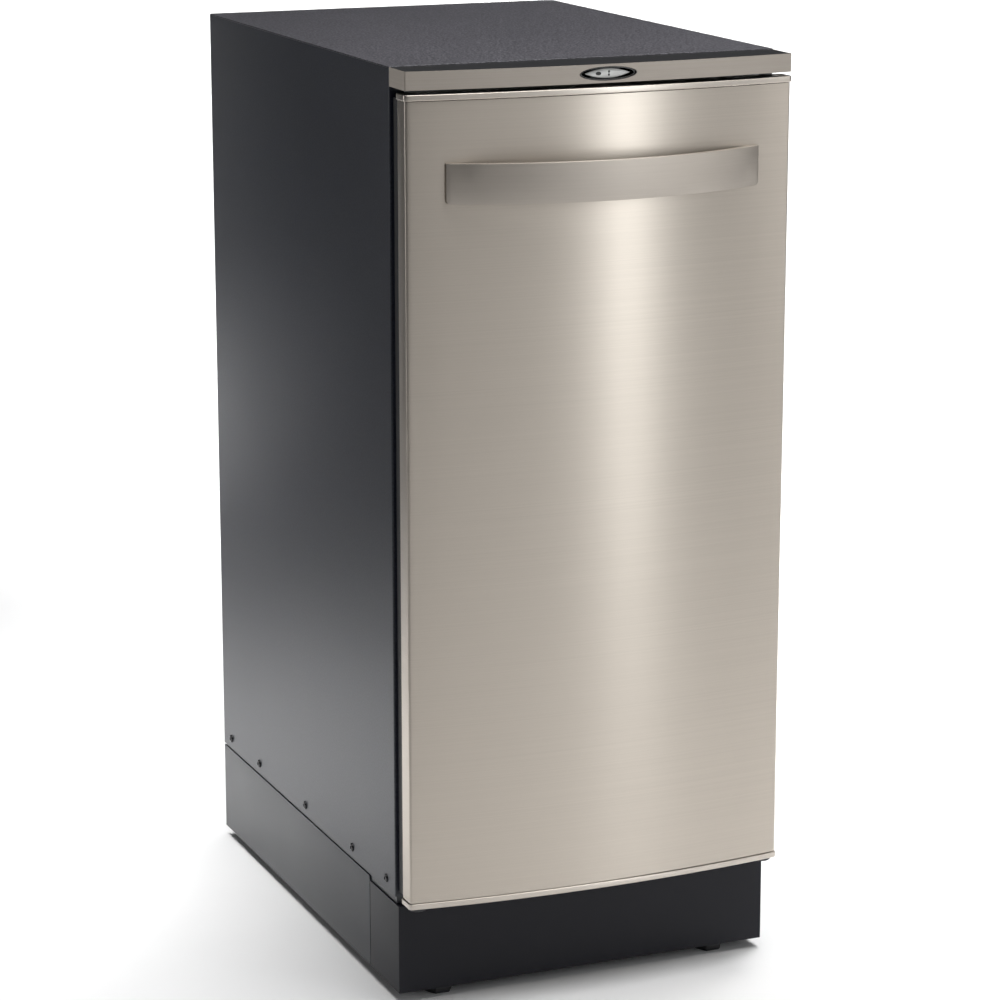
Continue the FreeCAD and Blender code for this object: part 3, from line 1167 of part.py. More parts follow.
def limit_switch():
    """The switch under the brace that stops the ram at the top of its stroke."""
    y0 = MID_Y + BRACE_DEPTH / 2 + 2
    body = box(-12, 12, y0, y0 + 12, BRACE_Z - 1, BRACE_Z + 20)
    lever = box(-9, 9, y0 + 4, y0 + 6, BRACE_Z - 4, BRACE_Z - 0.9)
    tab = box(-10, 10, MID_Y + BRACE_DEPTH / 2, y0 + 0.1, BRACE_Z + 2, BRACE_Z + 18)
    return fuse(body, lever, tab)


def drawer_switch():
    """The interlock switch behind the left runner, closed only when the drawer is in."""
    x1 = -(TRACK_WEB_X + TRACK_SHEET) - 1
    y1 = BACK_IN - SEAM - 3
    body = box(x1 - 22, x1, y1 - 30, y1, PAN_TOP, PAN_TOP + 26)
    plunger = bar_y(2.5, x1 - 11, y1 - 38, y1 - 29, PAN_TOP + 18)
    return fuse(body, plunger)


# ---------------------------------------------------------------- the nodes
os.makedirs("parts", exist_ok=True)

NODES = {
    "side_panel_left": mirrored(side_panel_right()),
    "side_panel_right": side_panel_right(),
    "top_panel": top_panel(),
    "back_panel": back_panel(),
    "base_pan": base_pan(),
    "base_frame": base_frame(),
    "side_skirt_left": mirrored(side_skirt_right()),
    "side_skirt_right": side_skirt_right(),
    "toe_kick": toe_kick(),
    "console_housing": console_housing(),
    "console_fascia": fascia(),
    "switch_bezel": switch_bezel(),
    "switch_body": switch_body(),
    "start_rocker": start_rocker(),
    "front_header": front_header(),
    "upper_brace": upper_brace(),
    "screw_bearings": screw_bearings(),
    "drawer_tracks": pair(track_right()),
    "front_roller_pins": front_roller_pins(),
    "drawer_bumpers": drawer_bumpers(),
    "motor_housing": motor_housing(),
    "motor_bracket": motor_bracket(),
    "gear_stub_shaft": gear_stub_shaft(),
    "drive_chain": drive_chain(),
    "terminal_box": terminal_box(),
    "cord_gland": cord_gland(),
    "cable_duct": cable_duct(),
    "limit_switch": limit_switch(),
    "drawer_switch": drawer_switch(),
    "side_panel_screws": side_panel_screws(),
    "back_panel_screws": back_panel_screws(),
    "drawer_front_skin": drawer_front_skin(),
    "drawer_inner_frame": drawer_inner_frame(),
    "drawer_top_trim": drawer_top_trim(),
    "drawer_bottom_trim": drawer_bottom_trim(),
    "corner_glides": corner_glides(),
    "handle": handle(),
    "handle_screws": handle_screws(),
    "drawer_runners": pair(runner_right()),
    "carrier_tray": carrier_tray(),
    "trash_bin": trash_bin(),
    "bag_clips": bag_clips(),
    "rear_roller_pins": rear_roller_pins(),
    "front_roller_left": roller(-1, FRONT_ROLLER_Y),
    "front_roller_right": roller(1, FRONT_ROLLER_Y),
    "rear_roller_left": roller(-1, REAR_ROLLER_Y),
    "rear_roller_right": roller(1, REAR_ROLLER_Y),
    "ram_crosshead": ram_crosshead(),
    "ram_uprights": ram_uprights(),
    "press_plate": press_plate(),
    "power_nuts": power_nuts(),
    "power_screw_left": power_screw(-1),
    "power_screw_right": power_screw(1),
    "drive_gear": drive_gear(),
    "motor_pinion": motor_pinion(),
}
for place, (foot_x, foot_y) in foot_places().items():
    NODES[f"levelling_foot_{place}"] = levelling_foot(foot_x, foot_y)

for node_name, node_shape in NODES.items():
    save(node_name, node_shape)
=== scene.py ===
# %% [markdown]
# # A trash compactor with a bowed steel drawer
# The machine is a narrow kitchen cabinet: a painted sheet-metal body, a brushed steel drawer front that
# curves gently outwards, a thin console over it and a plinth under it. The engineering model already
# holds every part at its true size, so this lesson loads it as a fixed frame. The parts that catch the
# eye are then rebuilt with softer edges, and every part gets a finish made from nodes.

# %% Load the frame
import math

import bmesh
import bpy
from mathutils import Matrix, Vector


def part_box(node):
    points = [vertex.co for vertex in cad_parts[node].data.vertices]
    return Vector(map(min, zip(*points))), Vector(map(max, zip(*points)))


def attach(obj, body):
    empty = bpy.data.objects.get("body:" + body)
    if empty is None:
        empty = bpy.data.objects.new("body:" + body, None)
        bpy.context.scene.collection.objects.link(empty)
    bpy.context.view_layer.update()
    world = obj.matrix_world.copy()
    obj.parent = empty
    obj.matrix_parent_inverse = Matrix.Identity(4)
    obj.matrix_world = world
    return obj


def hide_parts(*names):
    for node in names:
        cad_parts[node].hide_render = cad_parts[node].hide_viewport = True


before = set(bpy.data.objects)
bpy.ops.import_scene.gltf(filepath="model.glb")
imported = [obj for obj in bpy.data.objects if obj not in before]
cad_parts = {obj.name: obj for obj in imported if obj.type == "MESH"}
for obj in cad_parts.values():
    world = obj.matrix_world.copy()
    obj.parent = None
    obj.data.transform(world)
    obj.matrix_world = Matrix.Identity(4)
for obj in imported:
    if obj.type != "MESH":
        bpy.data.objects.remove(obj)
scene = bpy.context.scene
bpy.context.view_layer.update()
MM = 0.001

# %% [markdown]
# ## Camera
# A long lens from a few metres away keeps upright edges nearly parallel, which is how appliances are
# usually shown. It stands to the left of the drawer and a little above the top, so that the front, the
# left side and the top are all seen. The camera is placed by its position and its turn, with no shift.

# %% Camera
LOOK_DOWN, LOOK_RIGHT = 13.83, 22.71     # degrees
eye = bpy.data.cameras.new("product_camera")
eye.lens = 121.73
eye.sensor_width = 36.0
eye.clip_end = 60.0
camera = bpy.data.objects.new("product_camera", eye)
camera.location = (-1.2464, -2.9982, 1.2159)
camera.rotation_euler = (math.radians(90 - LOOK_DOWN), 0, math.radians(-LOOK_RIGHT))
scene.collection.objects.link(camera)
scene.camera = camera
print("camera looks down by", LOOK_DOWN, "degrees from", [round(c, 3) for c in camera.location])

# %% [markdown]
# ## A place for the finishes
# All finishes are node materials. Each starts the same way: a Principled shader, and the Object
# coordinates, which are metres in the machine's own frame. A Mapping node scales them, so a grain size
# can be given in millimetres. A few small helpers keep the recipes short enough to read.


# %% Finish helpers
def start_finish(name, metallic=0.0, specular=0.5):
    """A new material with its shader and its coordinates in metres."""
    material = bpy.data.materials.new(name)
    material.use_nodes = True
    tree = material.node_tree
    shader = tree.nodes["Principled BSDF"]
    shader.inputs["Metallic"].default_value = metallic
    shader.inputs["Specular IOR Level"].default_value = specular
    place = tree.nodes.new("ShaderNodeTexCoord").outputs["Object"]
    return material, tree, shader, place


def grain(tree, place, size_mm, detail=3.0, roughness=0.55, offset=(0, 0, 0)):
    """Noise whose features are size_mm = (x, y, z) millimetres across."""
    mapping = tree.nodes.new("ShaderNodeMapping")
    mapping.inputs["Scale"].default_value = [1000 / s for s in size_mm]
    mapping.inputs["Location"].default_value = offset
    tree.links.new(place, mapping.inputs["Vector"])
    noise = tree.nodes.new("ShaderNodeTexNoise")
    noise.inputs["Scale"].default_value = 1.0
    noise.inputs["Detail"].default_value = detail
    noise.inputs["Roughness"].default_value = roughness
    tree.links.new(mapping.outputs["Vector"], noise.inputs["Vector"])
    return noise.outputs["Fac"]


def between(tree, factor, low, high, start=0.3, end=0.7):
    """A factor turned into a colour, or into a number if low and high are numbers."""
    if isinstance(low, (int, float)):
        node = tree.nodes.new("ShaderNodeMapRange")
        for key, value in (("From Min", start), ("From Max", end), ("To Min", low), ("To Max", high)):
            node.inputs[key].default_value = value
        tree.links.new(factor, node.inputs["Value"])
        return node.outputs["Result"]
    node = tree.nodes.new("ShaderNodeValToRGB")
    node.color_ramp.elements[0].position = start
    node.color_ramp.elements[1].position = end
    node.color_ramp.elements[0].color = (*low, 1)
    node.color_ramp.elements[1].color = (*high, 1)
    tree.links.new(factor, node.inputs["Fac"])
    return node.outputs["Color"]


def blended(tree, amount, first, second):
    """Two colours mixed; amount is the share of the second."""
    node = tree.nodes.new("ShaderNodeMix")
    node.data_type = "RGBA"
    node.inputs["Factor"].default_value = amount
    tree.links.new(first, node.inputs["A"])
    tree.links.new(second, node.inputs["B"])
    return node.outputs["Result"]


def relief(tree, shader, height, depth_mm):
    """A bump of depth_mm millimetres from a height factor."""
    bump = tree.nodes.new("ShaderNodeBump")
    bump.inputs["Distance"].default_value = depth_mm * MM
    tree.links.new(height, bump.inputs["Height"])
    tree.links.new(bump.outputs["Normal"], shader.inputs["Normal"])


finishes = {}
print("finish helpers ready")

# %% [markdown]
# ## Textured sheet paint
# The cabinet is powder coated. Powder flows into an even pebble: tiny bumps, half a millimetre across on
# the fine coats and two on the coarse ones, with lighter crowns. One noise gives the pebble, a second,
# much larger one lets tone and gloss drift over the sheet so that it never looks like one flat colour.


# %% Powder-coat recipe
DRIFT_MM = 160.0


def powder_coat(name, dark, light, pebble_mm, depth_mm, gloss, specular=0.5, speckle=(0.32, 0.72)):
    """Pebbled paint between a dark and a light tone; gloss is its range of roughness."""
    material, tree, shader, place = start_finish(name, 0.0, specular)
    pebble = grain(tree, place, (pebble_mm,) * 3, 2.0)
    drift = grain(tree, place, (DRIFT_MM,) * 3, 2.0, offset=(0.31, 0.17, 0.53))
    tone = between(tree, pebble, dark, light, *speckle)
    middle = [(a + b) / 2 for a, b in zip(dark, light)]
    shade = between(tree, drift, [0.85 * c for c in middle], [1.12 * c for c in middle], 0.2, 0.8)
    tree.links.new(blended(tree, 0.3, tone, shade), shader.inputs["Base Color"])
    tree.links.new(between(tree, drift, gloss[0], gloss[1], 0.0, 1.0), shader.inputs["Roughness"])
    relief(tree, shader, pebble, depth_mm)
    finishes[name] = material


powder_coat("cabinet_paint", (0.002, 0.004, 0.011), (0.018, 0.022, 0.036), 1.6, 0.06, (0.285, 0.33),
            specular=0.6, speckle=(0.40, 0.66))
powder_coat("top_paint", (0.003, 0.003, 0.006), (0.130, 0.126, 0.142), 2.2, 0.22, (0.44, 0.56),
            specular=0.4, speckle=(0.42, 0.66))
powder_coat("back_sheet", (0.030, 0.032, 0.036), (0.060, 0.062, 0.068), 0.9, 0.03, (0.4, 0.5))
powder_coat("plinth_paint", (0.018, 0.020, 0.025), (0.034, 0.037, 0.043), 0.6, 0.012, (0.32, 0.42))
powder_coat("toe_kick_paint", (0.006, 0.006, 0.009), (0.014, 0.014, 0.019), 0.6, 0.012, (0.3, 0.38),
            specular=0.2)
powder_coat("inner_frame_paint", (0.008, 0.008, 0.009), (0.020, 0.020, 0.022), 0.8, 0.02, (0.45, 0.55))
powder_coat("bin_paint", (0.10, 0.105, 0.11), (0.17, 0.175, 0.18), 0.9, 0.03, (0.35, 0.5))
powder_coat("ram_paint", (0.055, 0.058, 0.064), (0.10, 0.105, 0.112), 0.9, 0.03, (0.35, 0.5))
powder_coat("motor_paint", (0.015, 0.016, 0.018), (0.038, 0.040, 0.044), 0.6, 0.02, (0.3, 0.45))
print("powder coats:", sorted(finishes))

# %% [markdown]
# ## Brushed stainless steel
# The drawer front, the fascia and the handle are warm grey stainless, brushed sideways. Real brushing is
# thousands of scratches that are long and very thin. Stretched noise gives them: long along X and Y,
# a fraction of a millimetre along Z, so that the same material also runs round the returns. Across the
# grain the reflection spreads, which is why a lamp shows as an upright band. The shader's own
# anisotropy makes that spread, and it is turned a quarter because the grain is level.


# %% Brushed-steel recipe
def brushed_steel(name, dark, light, gloss, anisotropy, scratch_mm, length_mm, depth_mm):
    """Stainless with a level grain, between a dark and a light tone."""
    material, tree, shader, place = start_finish(name, 1.0)
    shader.inputs["Anisotropic"].default_value = anisotropy
    shader.inputs["Anisotropic Rotation"].default_value = 0.25
    scratch = grain(tree, place, (length_mm, length_mm, scratch_mm), 4.0, 0.6)
    streak = grain(tree, place, (4 * length_mm, 4 * length_mm, 5 * scratch_mm), 3.0, 0.5, (0.2, 0.4, 0.1))
    cloud = grain(tree, place, (300.0, 300.0, 300.0), 1.0, 0.5, (0.7, 0.2, 0.3))
    tone = between(tree, scratch, dark, light, 0.34, 0.66)
    band = between(tree, streak, [0.99 * c for c in dark], [min(1.0, 1.01 * c) for c in light], 0.3, 0.7)
    tree.links.new(blended(tree, 0.5, tone, band), shader.inputs["Base Color"])
    tree.links.new(between(tree, cloud, gloss[0], gloss[1], 0.0, 1.0), shader.inputs["Roughness"])
    relief(tree, shader, scratch, depth_mm)
    finishes[name] = material


brushed_steel("front_steel", (0.495, 0.446, 0.391), (0.54, 0.487, 0.427), (0.285, 0.33), 0.85,
              scratch_mm=0.25, length_mm=220.0, depth_mm=0.0012)
brushed_steel("fascia_steel", (0.41, 0.370, 0.328), (0.44, 0.398, 0.354), (0.52, 0.58), 0.2,
              scratch_mm=0.3, length_mm=150.0, depth_mm=0.0008)
brushed_steel("trim_steel", (0.55, 0.502, 0.448), (0.60, 0.548, 0.490), (0.29, 0.34), 0.8,
              scratch_mm=0.25, length_mm=150.0, depth_mm=0.0012)
brushed_steel("handle_metal", (0.53, 0.482, 0.43), (0.56, 0.510, 0.456), (0.46, 0.52), 0.3,
              scratch_mm=0.25, length_mm=30.0, depth_mm=0.001)
print("steels ready:", len(finishes), "finishes so far")

# %% [markdown]
# ## Bare metals
# Inside are parts that are plated or left bare: galvanised sheet with its patchwork of crystals, bright
# shafts, an oiled chain, cast iron and bronze. Crystals are cells of one tone each, which the Voronoi
# texture draws; the others are soft noise in both tone and gloss.


# %% Bare-metal recipes
CRYSTALS_PER_METRE = 85


def bare_metal(name, dark, light, gloss, grain_mm=3.0, depth_mm=0.01):
    """A plain metal with a mottled tone and gloss."""
    material, tree, shader, place = start_finish(name, 1.0)
    mottle = grain(tree, place, (grain_mm,) * 3, 4.0)
    wear = grain(tree, place, (28.0, 28.0, 28.0), 3.0, 0.6, (0.1, 0.5, 0.2))
    tone = between(tree, mottle, dark, light)
    stain = between(tree, wear, [0.8 * c for c in dark], light, 0.25, 0.75)
    tree.links.new(blended(tree, 0.4, tone, stain), shader.inputs["Base Color"])
    tree.links.new(between(tree, wear, gloss[0], gloss[1]), shader.inputs["Roughness"])
    relief(tree, shader, mottle, depth_mm)
    finishes[name] = material


def galvanised(name, dark, light):
    """Zinc-coated sheet with crystals about 12 mm across."""
    material, tree, shader, place = start_finish(name, 1.0)
    mapping = tree.nodes.new("ShaderNodeMapping")
    mapping.inputs["Scale"].default_value = (CRYSTALS_PER_METRE,) * 3
    tree.links.new(place, mapping.inputs["Vector"])
    crystals = tree.nodes.new("ShaderNodeTexVoronoi")
    crystals.inputs["Scale"].default_value = 1.0
    tree.links.new(mapping.outputs["Vector"], crystals.inputs["Vector"])
    split = tree.nodes.new("ShaderNodeSeparateColor")
    tree.links.new(crystals.outputs["Color"], split.inputs["Color"])
    haze = grain(tree, place, (40.0, 40.0, 40.0), 3.0)
    tone = between(tree, split.outputs["Red"], dark, light, 0.1, 0.9)
    dull = between(tree, haze, [0.85 * c for c in dark], light)
    tree.links.new(blended(tree, 0.4, tone, dull), shader.inputs["Base Color"])
    tree.links.new(between(tree, split.outputs["Green"], 0.32, 0.5, 0.0, 1.0), shader.inputs["Roughness"])
    relief(tree, shader, crystals.outputs["Distance"], 0.01)
    finishes[name] = material


galvanised("zinc_sheet", (0.46, 0.48, 0.50), (0.62, 0.64, 0.66))
bare_metal("bright_steel", (0.58, 0.57, 0.56), (0.70, 0.69, 0.68), (0.16, 0.26))
bare_metal("screw_steel", (0.30, 0.30, 0.31), (0.46, 0.46, 0.47), (0.29, 0.38), 2.0)
bare_metal("chain_steel", (0.12, 0.11, 0.10), (0.26, 0.25, 0.24), (0.28, 0.42), 1.5)
bare_metal("gear_iron", (0.16, 0.155, 0.15), (0.27, 0.265, 0.26), (0.38, 0.52), 1.8, 0.03)
bare_metal("bearing_bronze", (0.50, 0.34, 0.17), (0.64, 0.46, 0.26), (0.28, 0.42), 1.2, 0.02)
print("bare metals ready:", len(finishes), "finishes so far")

# %% [markdown]
# ## Plastics and rubber
# Moulded plastic is smoother than paint, with a faint matt grain from its tool. The recipe for powder
# coat serves with a finer, shallower pebble. Nylon and silver paint are lighter, rubber is duller.

# %% Plastics
powder_coat("console_plastic", (0.010, 0.010, 0.011), (0.018, 0.018, 0.020), 0.35, 0.006, (0.30, 0.36),
            specular=0.25)
powder_coat("black_plastic", (0.010, 0.010, 0.011), (0.024, 0.024, 0.026), 0.4, 0.01, (0.32, 0.42))
powder_coat("bezel_plastic", (0.012, 0.009, 0.008), (0.026, 0.020, 0.017), 0.3, 0.003, (0.12, 0.2))
powder_coat("rocker_silver", (0.74, 0.74, 0.72), (0.86, 0.86, 0.84), 0.25, 0.002, (0.2, 0.28))
powder_coat("nylon", (0.66, 0.64, 0.58), (0.78, 0.76, 0.70), 0.8, 0.01, (0.34, 0.44))
powder_coat("rubber", (0.012, 0.012, 0.012), (0.028, 0.028, 0.028), 0.6, 0.03, (0.62, 0.74))
powder_coat("black_screws", (0.006, 0.006, 0.007), (0.016, 0.016, 0.018), 0.5, 0.004, (0.12, 0.2))
powder_coat("foot_black", (0.006, 0.006, 0.007), (0.016, 0.016, 0.018), 0.7, 0.01, (0.3, 0.4))
powder_coat("mark_black", (0.006, 0.006, 0.006), (0.014, 0.013, 0.012), 0.2, 0.001, (0.3, 0.4))
print("all finishes:", len(finishes))

# %% [markdown]
# ## Dress the frame
# The record says which finish each part is ordered in. Every part of the frame gets the material of its
# slot, so that even the parts deep inside, seen only when the drawer is out, look like what they are.
# One part differs: the base pan's edge shows in the gap over the plinth, so the pan is given the dark
# plinth paint in place of its own finish; this is painted shade that keeps that gap dark.

# %% Finishes onto the frame
slot_of = {name: node.data.materials[0].name.split(".")[0] for name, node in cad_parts.items()}
for name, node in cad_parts.items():
    for place_index in range(len(node.data.materials)):
        node.data.materials[place_index] = finishes[slot_of[name]]
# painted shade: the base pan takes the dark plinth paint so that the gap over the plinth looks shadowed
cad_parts["base_pan"].data.materials[0] = finishes["plinth_paint"]
print("dressed", len(slot_of), "parts in", len(set(slot_of.values())), "finishes")

# %% [markdown]
# ## Making a piece
# New pieces are grown in a bmesh. When a shape is done it is closed up, its faces are turned outwards
# and it becomes an object. The object then rides on its body, stands for the part it replaces and
# names the finish it is ordered in.


# %% Piece helpers
def turn_outwards(bm):
    """Merge doubles and point the faces out of the shape."""
    bmesh.ops.remove_doubles(bm, verts=bm.verts[:], dist=1e-6)
    bmesh.ops.recalc_face_normals(bm, faces=bm.faces[:])


def make_piece(bm, name, body, finish, *stands_for, soft_angle=35.0):
    """Turn a finished bmesh into a piece that rides on a body and stands for CAD nodes."""
    mesh = bpy.data.meshes.new(name)
    bm.to_mesh(mesh)
    open_edges = sum(1 for e in bm.edges if len(e.link_faces) != 2)
    bm.free()
    mesh.materials.append(finishes[finish])
    mesh.shade_smooth()
    mesh.set_sharp_from_angle(angle=math.radians(soft_angle))
    piece = bpy.data.objects.new(name, mesh)
    scene.collection.objects.link(piece)
    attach(piece, body)
    if stands_for:
        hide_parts(*stands_for)
    # the marks printed on the rocker have no node of their own, so they hide none
    print(f"{name}: {len(mesh.polygons)} faces, {open_edges} open edges")


def moved_part(result):
    """The vertices of an operator's result."""
    return [g for g in result["geom"] if isinstance(g, bmesh.types.BMVert)]


def slab(bm, low, high, rounding, segments):
    """A rectangular block with softened edges."""
    low, high = Vector(low), Vector(high)
    cube = bmesh.ops.create_cube(bm, size=1.0)["verts"]
    bmesh.ops.scale(bm, vec=high - low, verts=cube)
    bmesh.ops.translate(bm, vec=(low + high) / 2, verts=cube)
    edges = list({e for v in cube for e in v.link_edges})
    bmesh.ops.bevel(bm, geom=edges, offset=rounding, affect="EDGES", segments=segments, profile=0.5,
                    material=-1)


print("piece helpers ready")

# %% [markdown]
# ## The bow
# The drawer front and its two lips share one plan: a shallow arc with straight returns at both sides.
# A single vertex spun about the arc's far centre draws the arc, extruding its ends draws the returns,
# and raising that line makes a sheet whose upright corners can be bevelled into a bend.


# %% Bowed line
skin_low, skin_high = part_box("drawer_front_skin")
BOW = 13.0 * MM
BOW_STEPS = 72
SETBACK = 0.04 * MM                      # the arc's middle stays this far behind the part's face


def level_arc(bm, half, y_end, y_middle, z, steps):
    """Vertices on an arc from x = -half to x = half, bulging forwards; gives the first and the last."""
    rise = y_end - y_middle
    radius = (half ** 2 + rise ** 2) / (2 * rise)
    left = bm.verts.new((-half, y_end, z))
    turned = bmesh.ops.spin(bm, geom=[left], cent=(0, y_middle + radius, z), axis=(0, 0, 1),
                            dvec=(0, 0, 0), angle=2 * math.asin(half / radius), steps=steps)
    right = [g for g in turned["geom_last"] if isinstance(g, bmesh.types.BMVert)][0]
    return left, right


def bowed_line(bm, half, edge_y, back_y, z):
    """The plan of a bowed front, from one return round to the other."""
    for corner in level_arc(bm, half, edge_y, edge_y - BOW, z, BOW_STEPS):
        end = bmesh.ops.extrude_vert_indiv(bm, verts=[corner])["verts"][0]
        end.co.y = back_y


def raise_line(bm, height):
    """Pull the whole line up into a sheet."""
    upper = bmesh.ops.extrude_edge_only(bm, edges=bm.edges[:])
    bmesh.ops.translate(bm, verts=moved_part(upper), vec=(0, 0, height))


def upright_corners(bm, half, y):
    """Upright edges at x = half on either side, at this y."""
    found = []
    for e in bm.edges:
        a, b = (v.co for v in e.verts)
        upright = abs(a.z - b.z) >= 1e-6
        if upright and all(abs(abs(p.x) - half) < 1e-5 and abs(p.y - y) < 1e-5 for p in (a, b)):
            found.append(e)
    return found


print("skin is", round(1000 * (skin_high.x - skin_low.x), 1), "mm wide")

# %% [markdown]
# ## Drawer skin
# One millimetre stainless, folded back at both sides. The bend starts 2.3 mm from the corner, enough to
# catch a thin bright line down each side. The wall is given last, so that the outer face stays exactly
# where it was drawn.

# %% Drawer skin
bm = bmesh.new()
SKIN_EDGE_Y = skin_low.y + BOW + SETBACK           # where the arc meets the returns
bowed_line(bm, skin_high.x, SKIN_EDGE_Y, skin_high.y, skin_low.z)
raise_line(bm, skin_high.z - skin_low.z)
bmesh.ops.bevel(bm, geom=upright_corners(bm, skin_high.x, SKIN_EDGE_Y), offset=2.3 * MM, affect="EDGES",
                segments=8, profile=0.5, material=-1)
turn_outwards(bm)
bmesh.ops.solidify(bm, geom=bm.faces[:], thickness=1.0 * MM)
make_piece(bm, "steel_skin", "drawer", "front_steel", "drawer_front_skin")

# %% [markdown]
# ## Lips
# A lip caps the skin at its top and bottom. Each is 5.5 mm high and stands 1.2 mm proud, with a rounded
# rim. It is the same bowed line, closed across the back and pulled up into a block.


# %% Bowed lips
def bowed_lip(name, node):
    """A bowed block in the place of one lip."""
    low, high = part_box(node)
    edge_y = low.y + BOW + SETBACK
    bm = bmesh.new()
    bowed_line(bm, high.x, edge_y, high.y, low.z)
    bmesh.ops.contextual_create(bm, geom=[v for v in bm.verts if len(v.link_edges) == 1])
    plan = bmesh.ops.contextual_create(bm, geom=bm.edges[:])["faces"]
    upper = bmesh.ops.extrude_face_region(bm, geom=plan)
    bmesh.ops.translate(bm, verts=moved_part(upper), vec=(0, 0, high.z - low.z))
    turn_outwards(bm)
    bmesh.ops.bevel(bm, geom=upright_corners(bm, high.x, edge_y), offset=3.4 * MM, affect="EDGES",
                    segments=6, profile=0.5, material=-1)
    rims = [e for e in bm.edges if abs(e.verts[0].co.z - e.verts[1].co.z) < 1e-7
            and min(v.co.y for v in e.verts) < high.y - 1e-5]
    bmesh.ops.bevel(bm, geom=rims, offset=0.9 * MM, affect="EDGES", segments=4, profile=0.5,
                    material=-1)
    make_piece(bm, name, "drawer", "trim_steel", node)


bowed_lip("top_lip", "drawer_top_trim")
bowed_lip("bottom_lip", "drawer_bottom_trim")

# %% [markdown]
# ## Handle
# A strap about 36 mm high that springs off the skin at both ends and stands clear of it in the middle.
# Its front follows an arc and its back a second, tighter one, so it is slimmest in the middle. The
# two arcs are spun from one vertex each and joined by two short heels. The plan is filled and pulled up,
# then the lower corners are rounded and the front rim is eased.

# %% Handle
low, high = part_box("handle")
MIDDLE_THICKNESS, END_RISE, SUNK = 4.6 * MM, 3.2 * MM, 0.2 * MM
ARC_STEPS = 64


def skin_y(x):
    """Y of the skin's face at x."""
    half, middle_y = skin_high.x, SKIN_EDGE_Y - BOW
    radius = (half ** 2 + BOW ** 2) / (2 * BOW)
    return middle_y + radius - math.sqrt(radius ** 2 - x ** 2)


bm = bmesh.new()
foot_x = high.x - 13 * MM
heel_y = skin_y(high.x) + SUNK
outer = level_arc(bm, high.x, skin_y(high.x) - END_RISE, low.y, low.z, ARC_STEPS)
inner = level_arc(bm, foot_x, skin_y(foot_x) + SUNK, low.y + MIDDLE_THICKNESS, low.z, ARC_STEPS)
for side, outer_end, inner_end in zip((-1, 1), outer, inner):
    heel = bm.verts.new((side * high.x, heel_y, low.z))
    bm.edges.new((outer_end, heel))
    bm.edges.new((heel, inner_end))
plan = bmesh.ops.contextual_create(bm, geom=bm.edges[:])["faces"]
upper = bmesh.ops.extrude_face_region(bm, geom=plan)
bmesh.ops.translate(bm, verts=moved_part(upper), vec=(0, 0, high.z - low.z))
turn_outwards(bm)
lower_corners = [e for e in bm.edges
                 if all(abs(abs(v.co.x) - high.x) < 1e-6 and abs(v.co.z - low.z) < 1e-6 for v in e.verts)]
bmesh.ops.bevel(bm, geom=lower_corners, offset=3.5 * MM, affect="EDGES", segments=5, profile=0.5,
                material=-1)
front_rim = [e for e in bm.edges if len(e.link_faces) == 2 and e.calc_face_angle(0) > math.radians(50)
             and max(v.co.y for v in e.verts) < skin_y(max(abs(v.co.x) for v in e.verts)) - 1.5 * MM]
bmesh.ops.bevel(bm, geom=front_rim, offset=0.6 * MM, affect="EDGES", segments=3, profile=0.5, material=-1,
                clamp_overlap=True)
make_piece(bm, "strap_handle", "drawer", "handle_metal", "handle")

# %% [markdown]
# ## The oval and its rocker
# A glossy dark ring lines the oval in the fascia and steps down to an eye-shaped silver rocker. The ring
# is one ellipse, pulled inwards and backwards step by step and joined to itself at the end. The rocker's
# outline is one arc and its mirror image; its face is inset and raised, which gives it a sloping rim.

# %% Oval ring
low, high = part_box("switch_bezel")
FOREMOST = 0.1 * MM                      # depth of the foremost loop
face_y, oval_z = low.y - FOREMOST, (low.z + high.z) / 2
bm = bmesh.new()
ring = bmesh.ops.create_circle(bm, segments=96, radius=1.0)["verts"]
bmesh.ops.rotate(bm, verts=ring, cent=(0, 0, 0), matrix=Matrix.Rotation(math.radians(90), 3, "X"))
# half width, half height and depth behind the face in millimetres, from the outer wall round to the inner
RING_LOOPS = [(27.9, 6.3, 5.0), (27.9, 6.3, 0.5), (27.7, 6.15, 0.15), (27.3, 5.95, 0.1), (26.9, 5.8, 0.15),
              (26.7, 5.7, 0.4), (26.7, 5.7, 1.3), (26.5, 5.6, 1.6), (25.7, 5.2, 1.6), (25.4, 5.1, 1.85),
              (25.4, 5.1, 5.0)]


def set_loop(verts, wide_mm, high_mm, deep_mm):
    """Put a loop of the ring at its own half width, half height and depth."""
    longest = max(abs(v.co.x) for v in verts)
    tallest = max(abs(v.co.z - oval_z) for v in verts)
    for v in verts:
        v.co.x *= wide_mm * MM / longest
        v.co.z = oval_z + (v.co.z - oval_z) * high_mm * MM / tallest
        v.co.y = face_y + deep_mm * MM


bmesh.ops.translate(bm, verts=ring, vec=(0, 0, oval_z))
set_loop(ring, *RING_LOOPS[0])
first_edges = loop_edges = bm.edges[:]
for loop in RING_LOOPS[1:]:
    grown = bmesh.ops.extrude_edge_only(bm, edges=loop_edges)
    loop_edges = [g for g in grown["geom"] if isinstance(g, bmesh.types.BMEdge)]
    set_loop(moved_part(grown), *loop)
bmesh.ops.bridge_loops(bm, edges=first_edges + loop_edges)
turn_outwards(bm)
make_piece(bm, "oval_ring", "cabinet", "bezel_plastic", "switch_bezel")

